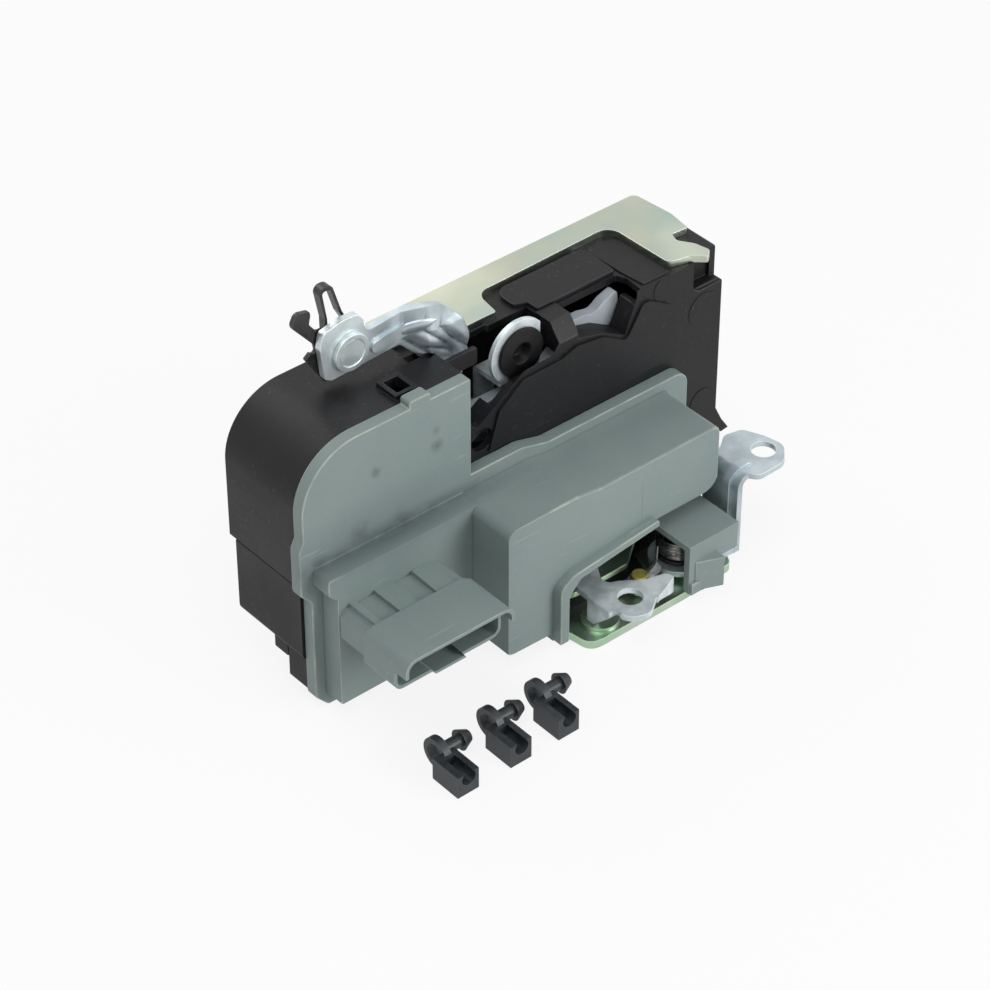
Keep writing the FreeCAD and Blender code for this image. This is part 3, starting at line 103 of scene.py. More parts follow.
class Finish:
    """One material, made from its Principled shader and the tones that feed it."""

    def __init__(self, name, **sockets):
        self.material = bpy.data.materials.new(name)
        self.material.use_nodes = True
        self.tree = self.material.node_tree
        self.shader = self.tree.nodes["Principled BSDF"]
        self.place = self.add("ShaderNodeTexCoord", {}, [], "Object")
        for socket, value in sockets.items():
            self.set(socket.replace("_", " "), value)

    def add(self, kind, settings, values, output=0):
        """Adds a node, its settings first, then its sockets by order or name. Returns an output."""
        node = self.tree.nodes.new(kind)
        for setting, value in settings.items():
            setattr(node, setting, value)
        pairs = values.items() if isinstance(values, dict) else enumerate(values)
        for key, value in pairs:
            if isinstance(value, Tone):
                self.tree.links.new(value.socket, node.inputs[key])
            else:
                node.inputs[key].default_value = value
        return Tone(self, node.outputs[output])

    def set(self, socket, value):
        """Feeds one socket of the shader with a tone, a number or a colour."""
        if isinstance(value, Tone):
            self.tree.links.new(value.socket, self.shader.inputs[socket])
        elif isinstance(value, tuple) and len(value) == 3:
            self.shader.inputs[socket].default_value = (*value, 1.0)
        else:
            self.shader.inputs[socket].default_value = value

    def noise(self, scale, detail=3.0, stretch=(1, 1, 1), seed=0.0):
        """Cloudy noise with a scale per metre."""
        rough = 0.55
        where = self.add("ShaderNodeMapping", {},
                         {"Vector": self.place, "Location": (seed, seed, seed), "Scale": stretch})
        return self.add("ShaderNodeTexNoise", {},
                        {"Vector": where, "Scale": scale, "Detail": detail, "Roughness": rough})

    def edge(self):
        """1 on rounded outer edges, -1 in rounded inner corners, and 0 elsewhere."""
        return self.add("ShaderNodeAttribute", {"attribute_name": "edge"}, [], "Fac")

    def near(self, spot, reach, stretch=(1, 1, 1)):
        """1 at a spot in millimetres, and 0 at its reach. A small stretch makes the patch long."""
        away = self.add("ShaderNodeVectorMath", {"operation": "SUBTRACT"},
                        [self.place, tuple(part / 1000 for part in spot)])
        away = self.add("ShaderNodeVectorMath", {"operation": "MULTIPLY"}, [away, stretch])
        length = self.add("ShaderNodeVectorMath", {"operation": "LENGTH"}, [away], "Value")
        return length.between(0, reach / 1000, 1, 0)

    def mix(self, share, first, second):
        """A colour between two colours."""
        values = {0: share, 6: first if isinstance(first, Tone) else (*first, 1.0),
                  7: second if isinstance(second, Tone) else (*second, 1.0)}
        return self.add("ShaderNodeMix", {"data_type": "RGBA"}, values, 2)

    def bump(self, height, depth, strength):
        """Small relief, its depth in metres."""
        values = {"Strength": strength, "Distance": depth, "Height": height}
        self.set("Normal", self.add("ShaderNodeBump", {}, values))


floor_half, floor_level = 4.0, -0.0003
floor_mesh = bpy.data.meshes.new("floor")
signs = ((-1, -1), (1, -1), (1, 1), (-1, 1))
corners = [(x * floor_half, y * floor_half, floor_level) for x, y in signs]
floor_mesh.from_pydata(corners, [], [(0, 1, 2, 3)])
floor = bpy.data.objects.new("floor", floor_mesh)
bpy.context.scene.collection.objects.link(floor)
paper = Finish("white_paper", Base_Color=(0.80, 0.80, 0.80), Roughness=0.9, Specular_IOR_Level=0.1)
glow = paper.tree.nodes.new("ShaderNodeEmission")
lit = paper.tree.nodes.new("ShaderNodeMixShader")
by_eye = paper.add("ShaderNodeLightPath", {}, [], "Is Camera Ray")
by_gloss = paper.add("ShaderNodeLightPath", {}, [], "Is Glossy Ray")
by_glass = paper.add("ShaderNodeLightPath", {}, [], "Is Transmission Ray")
glow_seen, glow_mirrored = 0.86, 0.6
share = by_eye * glow_seen + by_gloss * glow_mirrored + by_glass * glow_mirrored
paper.tree.links.new(share.socket, lit.inputs[0])
paper.tree.links.new(paper.shader.outputs[0], lit.inputs[1])
paper.tree.links.new(glow.outputs[0], lit.inputs[2])
paper.tree.links.new(lit.outputs[0], paper.tree.nodes["Material Output"].inputs[0])
floor_mesh.materials.append(paper.material)

world = bpy.data.worlds.new("studio")
bpy.context.scene.world = world
world.use_nodes = True
sky = world.node_tree
back = sky.nodes["Background"]
back.inputs["Color"].default_value = (1.0, 1.0, 1.0, 1.0)
light_path = sky.nodes.new("ShaderNodeLightPath")
towards = sky.nodes.new("ShaderNodeTexCoord")
room = sky.nodes.new("ShaderNodeVectorMath")
room.operation = "DOT_PRODUCT"
dark_corner, paper_white, room_level = (-0.45, -0.85, -0.25), 1.0, 0.42
room.inputs[1].default_value = dark_corner
dark_side = sky.nodes.new("ShaderNodeMapRange")
for socket, value in (("From Min", 0.25), ("From Max", 0.85), ("To Min", 1.0), ("To Max", 0.25)):
    dark_side.inputs[socket].default_value = value
glossy = sky.nodes.new("ShaderNodeMix")
glossy.inputs[2].default_value = room_level
strength = sky.nodes.new("ShaderNodeMix")
strength.inputs[3].default_value = paper_white
sky.links.new(towards.outputs["Generated"], room.inputs[0])
sky.links.new(room.outputs["Value"], dark_side.inputs["Value"])
sky.links.new(light_path.outputs["Is Glossy Ray"], glossy.inputs[0])
sky.links.new(dark_side.outputs["Result"], glossy.inputs[3])
sky.links.new(light_path.outputs["Is Camera Ray"], strength.inputs[0])
sky.links.new(glossy.outputs[0], strength.inputs[2])
sky.links.new(strength.outputs[0], back.inputs["Strength"])

lit_point = Vector((-0.02, 0, 0.05))
lamps = (("front", (0.45, -1.0, 0.45), 0.7, 8.0),
         ("top", (-0.45, -0.3, 1.0), 0.8, 4.2),
         ("rear", (-0.1, 0.9, 0.8), 0.9, 4.0))
for name, place, size, watts in lamps:
    lamp = bpy.data.objects.new(name, bpy.data.lights.new(name, "AREA"))
    lamp.data.shape = "DISK"
    lamp.data.size = size
    lamp.data.energy = watts
    lamp.location = place
    lamp.rotation_euler = (lit_point - Vector(place)).to_track_quat("-Z", "Y").to_euler()
    bpy.context.scene.collection.objects.link(lamp)


# Main and lower housing: two tubs of black, glass-filled plastic, moulded and pressed together.
# The surface is fine-grained and slightly blue, with flow clouds, polished edges and the round marks
# of the pins that pushed the moulding out of its tool.
black = Finish("black_moulding", Specular_IOR_Level=0.27)
flow = black.noise(34, 4)
grain = black.noise(2400, 2, seed=1)
scuff = black.noise(700, 3, seed=3).between(0.60, 0.72) * black.noise(60, 2, seed=6).between(0.45, 0.6)
rim = black.edge()
tint = black.mix(flow.between(0.35, 0.68), (0.0036, 0.0034, 0.0042), (0.0072, 0.0070, 0.0082))
tint = black.mix(grain.between(0.35, 0.7) * 0.35, tint, (0.015, 0.0148, 0.017))
polish = rim.between(0, 1) * (0.25 + flow.between(0.4, 0.6, 0, 0.3))
tint = black.mix(polish, tint, (0.055, 0.057, 0.064))
tint = black.mix(scuff * 0.25, tint, (0.11, 0.115, 0.125))
black.set("Base Color", tint)
black.set("Roughness", flow.between(0.3, 0.7, 0.40, 0.55))
black.bump(grain, depth=0.00005, strength=0.5)


def torn_spots(mesh):
    """The corners of the triangles that lie upside down in a flat face, whose outline crosses itself."""
    least_area, turned_over = 1e-10, 0.2
    mesh.calc_loop_triangles()
    points = mesh.vertices
    spots = []
    for part in mesh.loop_triangles:
        face = mesh.polygons[part.polygon_index]
        turned = part.normal.dot(face.normal) < turned_over
        if face.material_index == 0 and part.area > least_area and turned:
            spots.extend(points[corner].co for corner in part.vertices)
    return spots


def round_edges(piece, width, angle, segments, soft, soft_width):
    """Rounds the sharp edges, the soft ones wider, and all less where a face would cross itself."""
    attempts, shrink, least_share = 24, 0.6, 0.1
    first_reach, more_reach = 1.6, 0.3
    spike, soft_spike = 0.75, 0.45
    mesh = piece.data
    form = bmesh.new()
    form.from_mesh(mesh)
    widest = max(width, soft_width)
    weights = []
    for edge in form.edges:
        sharp = len(edge.link_faces) == 2 and edge.calc_face_angle() > math.radians(angle)
        wide = soft and all(soft(*(vert.co * 1000)) for vert in edge.verts)
        weights.append((1.0 if wide else width / widest) if sharp else 0.0)
    corners = KDTree(len(form.verts))
    for vert in form.verts:
        corners.insert(vert.co, vert.index)
    corners.balance()
    skin = BVHTree.FromBMesh(form)
    edges_at = [[edge.index for edge in vert.link_edges] for vert in form.verts]
    form.free()
    mesh.attributes.new("bevel_weight_edge", "FLOAT", "EDGE")
    bevel = piece.modifiers.new("round", "BEVEL")
    bevel.width = widest
    bevel.segments = segments
    bevel.limit_method = "WEIGHT"
    bevel.use_clamp_overlap = False
    bevel.loop_slide = False
    bevel.material = 1
    for attempt in range(attempts):
        mesh.attributes["bevel_weight_edge"].data.foreach_set("value", weights)
        mesh.update()
        seen = piece.evaluated_get(bpy.context.evaluated_depsgraph_get())
        rounded = bpy.data.meshes.new_from_object(seen)
        spots = torn_spots(rounded)
        for vert in rounded.vertices:
            on_skin, _, _, away = skin.find_nearest(vert.co)
            if away > max(width * spike, widest * soft_spike):
                spots.append(on_skin)
        if not spots:
            break
        reach = width * (first_reach + more_reach * attempt)
        tight = {index for spot in spots for _, index, _ in corners.find_range(spot, reach)}
        tight |= {corners.find(spot)[1] for spot in spots}
        for edge in {edge for corner in tight for edge in edges_at[corner]}:
            kept = weights[edge] * widest > width * least_share
            weights[edge] = weights[edge] * shrink if kept else 0.0
    piece.modifiers.clear()
    return rounded


def softened(node, finish, width, shaping=None, soft=None, soft_width=0.0):
    """A merged copy of a CAD node with its sharp edges rounded and marked, that stands for the node."""
    merge_distance, flat_angle, sharp_angle, segments = 4e-6, 0.5, 30, 2
    crease_angle, least_breadth, flatness = 38, 0.00005, 90
    source = frame["nodes"][node]
    form = bmesh.new()
    form.from_mesh(source.data)
    bmesh.ops.remove_doubles(form, verts=form.verts, dist=merge_distance)
    bmesh.ops.dissolve_limit(form, angle_limit=math.radians(flat_angle),
                             verts=form.verts, edges=form.edges)
    mesh = bpy.data.meshes.new(node + "_form")
    form.to_mesh(mesh)
    form.free()
    mesh.materials.append(finish.material)
    mesh.materials.append(finish.material)
    piece = bpy.data.objects.new(node + "_form", mesh)
    bpy.context.scene.collection.objects.link(piece)
    mesh = round_edges(piece, width, sharp_angle, segments, soft, soft_width)
    form = bmesh.new()
    form.from_mesh(mesh)
    turns = []
    for edge in form.edges:
        edge.smooth = len(edge.link_faces) == 2 and edge.calc_face_angle() < math.radians(crease_angle)
    for face in form.faces:
        turn = 0.0
        if face.material_index:
            breadth = face.calc_area() / max(edge.calc_length() for edge in face.edges)
            turn = 3 * sum(edge.calc_face_angle_signed(0.0) for edge in face.edges)
            turn = max(-1.0, min(1.0, turn)) * (width / max(breadth, width)) ** 4
            if breadth < least_breadth:
                for edge in face.edges:
                    edge.smooth = False
                turn = 0.0
        turns.append(turn)
    for face in form.faces:
        face.material_index = 0
        face.smooth = True
    form.to_mesh(mesh)
    form.free()
    mesh.materials.pop(index=1)
    mesh.attributes.new("edge", "FLOAT", "FACE").data.foreach_set("value", turns)
    if shaping:
        shaping(mesh)
    piece.data = mesh
    weighted = piece.modifiers.new("flat_faces", "WEIGHTED_NORMAL")
    weighted.keep_sharp = True
    weighted.weight = flatness
    shaded = piece.evaluated_get(bpy.context.evaluated_depsgraph_get())
    piece.data = bpy.data.meshes.new_from_object(shaded)
    piece.modifiers.clear()
    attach(piece, source["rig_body"])
    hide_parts(node)


class Pattern:
    """A tree of geometry nodes with named sizes. It makes one plain mesh for each set of sizes."""

    def __init__(self, name, **sizes):
        self.name = name
        self.tree = bpy.data.node_groups.new(name, "GeometryNodeTree")
        self.tree.interface.new_socket("Geometry", in_out="INPUT", socket_type="NodeSocketGeometry")
        self.tree.interface.new_socket("Geometry", in_out="OUTPUT", socket_type="NodeSocketGeometry")
        self.keys = {}
        for size, kind in sizes.items():
            kind = "NodeSocket" + kind
            socket = self.tree.interface.new_socket(size, in_out="INPUT", socket_type=kind)
            self.keys[size] = socket.identifier
        self.start = self.tree.nodes.new("NodeGroupInput")

    def add(self, kind, settings, values, output=0):
        """Adds a node and returns one of its outputs. A value that is a socket is linked."""
        node = self.tree.nodes.new(kind)
        for setting, value in settings.items():
            setattr(node, setting, value)
        for key, value in values.items():
            if isinstance(value, bpy.types.NodeSocket):
                self.tree.links.new(value, node.inputs[key])
            else:
                node.inputs[key].default_value = value
        return node.outputs[output]

    def close(self, shape):
        """Makes instances real, gives them the material and ends the tree."""
        real = self.add("GeometryNodeRealizeInstances", {}, {"Geometry": shape})
        done = self.add("GeometryNodeSetMaterial", {},
                        {"Geometry": real, "Material": self.start.outputs["finish"]})
        self.tree.links.new(done, self.tree.nodes.new("NodeGroupOutput").inputs[0])

    def made(self, name, points=None, **sizes):
        """Runs the tree on the points with the given sizes and returns the object that it makes."""
        crease_angle = 38
        piece = bpy.data.objects.new(name, points or bpy.data.meshes.new(name + "_points"))
        bpy.context.scene.collection.objects.link(piece)
        shaper = piece.modifiers.new(self.name, "NODES")
        shaper.node_group = self.tree
        for size, value in sizes.items():
            shaper[self.keys[size]] = value
        made = piece.evaluated_get(bpy.context.evaluated_depsgraph_get())
        mesh = bpy.data.meshes.new_from_object(made)
        piece.modifiers.clear()
        mesh.polygons.foreach_set("use_smooth", [True] * len(mesh.polygons))
        mesh.set_sharp_from_angle(angle=math.radians(crease_angle))
        piece.data = mesh
        return piece


softened("main_housing", black, width=0.00035)
softened("lower_housing", black, width=0.00035)

pin_marks = Pattern("pin_marks", thickness="Float", finish="Material")
disc = pin_marks.add("GeometryNodeMeshCylinder", {}, {
    "Vertices": 40, "Radius": 1.0, "Depth": pin_marks.start.outputs["thickness"]}, "Mesh")
reach = pin_marks.add("GeometryNodeInputNamedAttribute", {"data_type": "FLOAT_VECTOR"},
                      {"Name": "reach"})
upright = (math.radians(90), 0, 0)
pin_marks.close(pin_marks.add("GeometryNodeInstanceOnPoints", {}, {
    "Points": pin_marks.start.outputs["Geometry"], "Instance": disc, "Rotation": upright,
    "Scale": reach}))

spots = bpy.data.meshes.new("pin_spots")
marks = ((29.8, 0.0, 86.9, 4.3), (46.6, 0.0, 71.9, 6.0), (47.8, 0.0, 35.8, 5.0), (-32.7, 0.0, 65.4, 2.2))
spots.from_pydata([(x / 1000, y / 1000, z / 1000) for x, y, z, _ in marks], [], [])
spots.attributes.new("reach", "FLOAT_VECTOR", "POINT").data.foreach_set(
    "vector", [part for *_, radius in marks for part in (radius / 1000, radius / 1000, 1.0)])
ejector_marks = pin_marks.made("ejector_marks", spots, thickness=0.0003, finish=black.material)
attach(ejector_marks, "housing")

# Front cover and connector housing: mineral-filled plastic, grey-green, moulded and pressed on the black
# tub. Its edges are rubbed pale and slightly yellow, and a smeared dark band runs along the foot of the
# lid. Painted shade darkens the rounded inner corners, the ledge's top by the lid and the lid's lower
# part.
grey = Finish("grey_moulding", Specular_IOR_Level=0.4)
cloud = grey.noise(26, 4, seed=2)
speck = grey.noise(1900, 2, seed=4)
smear = grey.noise(140, 5, seed=5)
rim = grey.edge()
tint = grey.mix(cloud.between(0.3, 0.7), (0.168, 0.220, 0.216), (0.205, 0.258, 0.252))
tint = grey.mix(speck.between(0.35, 0.7) * 0.4, tint, (0.235, 0.275, 0.262))
tint = grey.mix(rim.between(0, 1) * smear.between(0.35, 0.6, 0.25, 0.75), tint, (0.40, 0.44, 0.37))
# Painted shade: the rounded inner corners made darker, as if less light reaches them.
tint = grey.mix((rim * -1).between(0, 1) * 0.5, tint, (0.085, 0.105, 0.100))
# A smeared dark band along the joint at the lid's foot.
foot = grey.near((-82, -4.4, 54.2), 3.6, (0.085, 1, 1)) * smear.between(0.36, 0.56)
tint = grey.mix(foot * 0.85, tint, (0.045, 0.052, 0.055))
stains = (((-62.9, -4.4, 75.8), 3.0), ((-63.1, -4.4, 81.7), 2.0), ((-85.5, -4.4, 77.3), 3.2),
          ((-91.9, -4.4, 59.0), 5.0), ((-77.0, -4.4, 57.0), 4.0), ((-107.5, -4.4, 55.5), 4.5))
for spot, reach in stains:
    tint = grey.mix(grey.near(spot, reach) * smear.between(0.38, 0.6) * 0.7, tint, (0.075, 0.080, 0.072))
dot = grey.near((-85.5, -4.4, 77.3), 2.4).between(0.1, 0.7)
tint = grey.mix(dot * 0.55, tint, (0.085, 0.092, 0.070))
# Painted shade on the ledge's top next to the lid, where the lid shades it.
ledge_top_shade = grey.near((-82, -7.0, 53.9), 6.0, (0.10, 1, 1))
# Painted shade over the lid's lower part, darker towards the ledge.
lid_foot_shade = grey.near((-92, -4.4, 57.0), 15.0, (0.3, 1, 1))
mould_line = grey.near((-3.0, -28.2, 38.0), 0.28, (1, 1, 0.025))
tint = grey.mix(ledge_top_shade * 0.75, tint, (0.085, 0.115, 0.118))
tint = grey.mix(lid_foot_shade * 0.35, tint, (0.090, 0.115, 0.118))
tint = grey.mix(mould_line * 0.6, tint, (0.10, 0.12, 0.115))
scratch = grey.noise(420, 2, stretch=(0.12, 1, 1), seed=8).between(0.68, 0.74)
tint = grey.mix(scratch * 0.25, tint, (0.36, 0.40, 0.38))
grey.set("Base Color", tint)
grey.set("Roughness", cloud.between(0.3, 0.7, 0.44, 0.56))
grey.bump(speck, depth=0.00004, strength=0.5)


def box_edge(x, y, z):
    """The front edges of the cover's big box, which the mould left softer than the rest."""
    return -28.3 < y < -28.1 and (z > 48 or x < -52 or x > 25)


softened("front_cover", grey, width=0.0004, soft=box_edge, soft_width=0.0007)
softened("connector_housing", grey, width=0.0002)
softened("board_posts", grey, width=0.0002)

# Behind the connector: nine tinned brass pins in a black carrier, on a green board with black switches.
# The carrier snaps into the cover, the pins are soldered to the board.
board = Finish("board", Roughness=0.4)
tint = board.mix(board.noise(300, 2).between(0.4, 0.6), (0.02, 0.09, 0.035), (0.035, 0.14, 0.06))
board.set("Base Color", tint)
brass = Finish("pin_brass", Metallic=1.0)
tint = brass.mix(brass.noise(400, 2).between(0.4, 0.6), (0.75, 0.60, 0.34), (0.82, 0.72, 0.50))
brass.set("Base Color", tint)
brass.set("Roughness", brass.noise(700, 2, seed=2).between(0.3, 0.7, 0.25, 0.4))
softened("pin_carrier", black, width=0.0002)
softened("connector_pins", brass, width=0.0001)
softened("contact_board", board, width=0.0001)
softened("micro_switches", black, width=0.0003)

# Steel frame: pressed from 2.5 mm sheet, zinc-plated and passivated to a pale yellow-green that shifts
# with the thickness of the film. Two screws hold its rear flange on the tub.
yellow = Finish("yellow_passivated", Metallic=1.0)
cloud = yellow.noise(42, 3, seed=11)
drift = yellow.noise(20, 2, seed=14)
rub = yellow.noise(240, 3, stretch=(0.2, 1, 1), seed=12)
tint = yellow.mix(cloud.between(0.35, 0.65), (0.50, 0.52, 0.42), (0.40, 0.50, 0.45))
tint = yellow.mix(drift.between(0.45, 0.7), tint, (0.68, 0.70, 0.56))
tint = yellow.mix(yellow.edge().between(0, 1) * 0.5, tint, (0.70, 0.76, 0.68))
yellow.set("Base Color", tint)
yellow.set("Roughness", rub.between(0.3, 0.7, 0.26, 0.40))
yellow.bump(rub, depth=0.00003, strength=0.4)
softened("steel_frame", yellow, width=0.0003)

# Levers and pins: pressed sheet and turned steel, bright zinc-plated, bluish, with soft clouds and
# fine scratches from the barrel they were plated in.
zinc = Finish("bright_zinc", Metallic=0.72)
cloud = zinc.noise(130, 4, seed=21)
patch = zinc.noise(50, 4, seed=23).between(0.52, 0.7)
lines = zinc.noise(520, 3, stretch=(0.3, 1, 1), seed=22)
tint = zinc.mix(cloud.between(0.35, 0.65), (0.42, 0.49, 0.52), (0.62, 0.69, 0.72))
tint = zinc.mix(patch * 0.45, tint, (0.30, 0.37, 0.42))
# Painted shade in the crease valleys of the handle lever: the folds' depth darkens the zinc, streaked by
# the scratch lines.
fold = zinc.add("ShaderNodeAttribute", {"attribute_name": "fold"}, [], "Fac")
tint = zinc.mix(fold * lines.between(0.35, 0.6, 0.5, 1.0), tint, (0.05, 0.075, 0.10))
tint = zinc.mix(zinc.edge().between(0, 1) * 0.55, tint, (0.86, 0.91, 0.93))
rubbed = zinc.near((-79.0, 15.0, 107.0), 17.0).between(0, 0.5)
tint = zinc.mix(rubbed * 0.4, tint, (0.86, 0.92, 0.91))
zinc.set("Base Color", tint)
zinc.set("Roughness", cloud.between(0.3, 0.7, 0.28, 0.42))
zinc.bump(lines, depth=0.00004, strength=0.5)
for node in ("frame_screws", "fork_pin", "pawl_pin", "ear_pin", "lever_pivot_pin", "eye_pivot_pin",
             "gear_axle"):
    softened(node, zinc, width=0.0002)

# Latch plates: 3 mm and 2 mm steel, passivated to a deeper green, with a black plastic body between them
# that silences the striker on a rubber bumper. Screws and riveted pins hold the three together.
green = Finish("green_passivated", Metallic=1.0)
cloud = green.noise(70, 4, seed=31)
drift = green.noise(35, 3, seed=33)
tint = green.mix(cloud.between(0.35, 0.65), (0.36, 0.55, 0.38), (0.50, 0.66, 0.48))
tint = green.mix(drift.between(0.5, 0.7), tint, (0.60, 0.64, 0.56))
tint = green.mix(green.edge().between(0, 1) * 0.7, tint, (0.80, 0.84, 0.74))
green.set("Base Color", tint)
green.set("Roughness", cloud.between(0.3, 0.7, 0.28, 0.42))
rubber = Finish("rubber", Roughness=0.8)
tint = rubber.mix(rubber.noise(600, 2).between(0.4, 0.6), (0.014, 0.014, 0.014), (0.03, 0.03, 0.03))
rubber.set("Base Color", tint)
softened("base_plate", green, width=0.0002)
softened("latch_back_plate", green, width=0.0002)
softened("latch_body", black, width=0.00015)
softened("latch_screws", zinc, width=0.0002)
softened("striker_bumper", rubber, width=0.0004)

# Fork, pawl and pull lever: hardened steel that turns on riveted pins, each pulled back by a spring.
# The springs are steel wire, wound on a mandrel, with one straight leg that rests on a neighbour.
wire = Finish("spring_wire", Metallic=1.0)
tint = wire.mix(wire.noise(500, 3).between(0.4, 0.6), (0.36, 0.37, 0.39), (0.55, 0.56, 0.58))
wire.set("Base Color", tint)
wire.set("Roughness", wire.noise(800, 2, seed=2).between(0.3, 0.7, 0.25, 0.38))
coils = Pattern("coils", turns="Float", radius="Float", wire="Float", rise="Float",
                base="Vector", lean="Vector", finish="Material")
asked = coils.start.outputs
thread = coils.add("GeometryNodeCurveSpiral", {}, {
    "Resolution": 28, "Rotations": asked["turns"], "Start Radius": asked["radius"],
    "End Radius": asked["radius"], "Height": asked["rise"]})
section = coils.add("GeometryNodeCurvePrimitiveCircle", {}, {"Resolution": 12, "Radius": asked["wire"]})
turned = coils.add("GeometryNodeCurveToMesh", {},
                   {"Curve": thread, "Profile Curve": section, "Fill Caps": True})
coils.close(coils.add("GeometryNodeTransform", {}, {
    "Geometry": turned, "Translation": asked["base"], "Rotation": asked["lean"]}))


def wound(node, thickness, turns, along="z", finish=wire):
    """A helix of round wire in the sleeve that the CAD node keeps for it."""
    low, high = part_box(node)
    middle = [(low[axis] + high[axis]) / 2 for axis in range(3)]
    axis = "xyz".index(along)
    outside = (high[0] - low[0]) / 2
    middle[axis] = low[axis] + thickness / 2
    lean = (0.0, 0.0, 0.0) if along == "z" else (math.radians(-90), 0.0, 0.0)
    piece = coils.made(node + "_wire", turns=turns, radius=outside - thickness / 2, wire=thickness / 2,
                       rise=high[axis] - low[axis] - thickness, base=tuple(middle), lean=lean,
                       finish=finish.material)
    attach(piece, frame["nodes"][node]["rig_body"])
    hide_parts(node)


def bar(name, points, radii, finish, body, flat=1.0):
    """A round bar or wire through points in millimetres, with a radius at each, closed at both ends."""
    sides, crease_angle = 14, 50
    centres = [Vector(point) / 1000 for point in points]
    form = bmesh.new()
    rings = []
    for index, centre in enumerate(centres):
        ahead = (centres[min(index + 1, len(centres) - 1)] - centres[max(index - 1, 0)]).normalized()
        across = ahead.cross(Vector((0, 1, 0))).normalized()
        up = across.cross(ahead)
        ring = []
        for side in range(sides):
            turn = 2 * math.pi * side / sides
            reach = radii[index] / 1000
            sideways = across * math.cos(turn) * reach
            upwards = up * math.sin(turn) * reach * flat
            ring.append(form.verts.new(centre + sideways + upwards))
        rings.append(ring)
    for first, second in zip(rings, rings[1:]):
        for side in range(sides):
            after = (side + 1) % sides
            form.faces.new((first[side], first[after], second[after], second[side]))
    form.faces.new(rings[0])
    form.faces.new(list(reversed(rings[-1])))
    bmesh.ops.recalc_face_normals(form, faces=form.faces)
    mesh = bpy.data.meshes.new(name)
    form.to_mesh(mesh)
    form.free()
    mesh.polygons.foreach_set("use_smooth", [True] * len(mesh.polygons))
    mesh.set_sharp_from_angle(angle=math.radians(crease_angle))
    mesh.materials.append(finish.material)
    piece = bpy.data.objects.new(name, mesh)
    bpy.context.scene.collection.objects.link(piece)
    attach(piece, body)


# A lighter copy of the bright zinc, paler and less metallic: painted light, so that the pull lever and
# the eye lever's foot look lit where they lie in shade.
lit_zinc = Finish("lit_zinc_copy", Metallic=0.3)
cloud = lit_zinc.noise(95, 4, seed=51)
tint = lit_zinc.mix(cloud.between(0.4, 0.62), (0.40, 0.46, 0.48), (0.74, 0.80, 0.82))
lit_zinc.set("Base Color", lit_zinc.mix(lit_zinc.edge().between(0, 1) * 0.5, tint, (0.88, 0.92, 0.93)))
lit_zinc.set("Roughness", cloud.between(0.3, 0.7, 0.28, 0.40))
softened("pull_lever", lit_zinc, width=0.00015)
softened("pawl", zinc, width=0.0003)
softened("fork", zinc, width=0.0003)
wound("fork_spring", thickness=0.0011, turns=2)
wound("pull_spring", thickness=0.0011, turns=4)
wound("pawl_spring", thickness=0.0009, turns=4)

# Spring post: a short turned steel post, chromated yellow and riveted to the base plate. A thin coil
# hooks over it, and its straight leg stands up beside the pull lever.
gold = Finish("yellow_chromate", Metallic=0.55)
tint = gold.mix(gold.noise(300, 3).between(0.4, 0.6), (0.42, 0.36, 0.06), (0.58, 0.52, 0.14))
gold.set("Base Color", tint)
gold.set("Roughness", gold.noise(500, 2, seed=2).between(0.3, 0.7, 0.30, 0.42))
softened("spring_post", gold, width=0.0003)
catch_lean = (0.0, math.radians(74), math.radians(16))
catch_spring = coils.made("catch_spring", turns=9.0, radius=0.0017, wire=0.00024, rise=0.0062,
                          base=(-0.0004, -0.0284, 0.0072), lean=catch_lean, finish=wire.material)
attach(catch_spring, "housing")
leg_line = [(5.6, -26.4, 7.4), (5.8, -26.0, 9.0), (6.5, -25.6, 12.6), (7.0, -25.2, 14.5)]
bar("catch_spring_leg", leg_line, [0.3, 0.3, 0.3, 0.28], wire, "housing")

# Ear lever: 2 mm sheet bent up twice, with a bead pressed over the bend. It turns on a pin with a black
# spool above it, and a stack of wound wire around the spool brings it back.
dark_wire = Finish("oiled_wire", Metallic=1.0)
tint = dark_wire.mix(dark_wire.noise(500, 3).between(0.4, 0.6), (0.12, 0.12, 0.12), (0.28, 0.27, 0.25))
dark_wire.set("Base Color", tint)
dark_wire.set("Roughness", dark_wire.noise(800, 2, seed=2).between(0.3, 0.7, 0.28, 0.42))
softened("ear_lever", zinc, width=0.0002)
softened("ear_spool", black, width=0.0003)
wound("ear_spring", thickness=0.00135, turns=5, finish=dark_wire)

# Handle lever: one strip of 2.5 mm sheet with a stiffening bead, bent into its leg by the press, which
# creases it. A flat rivet carries the black hook for the rod, and a hairpin of flat wire locks the rod.


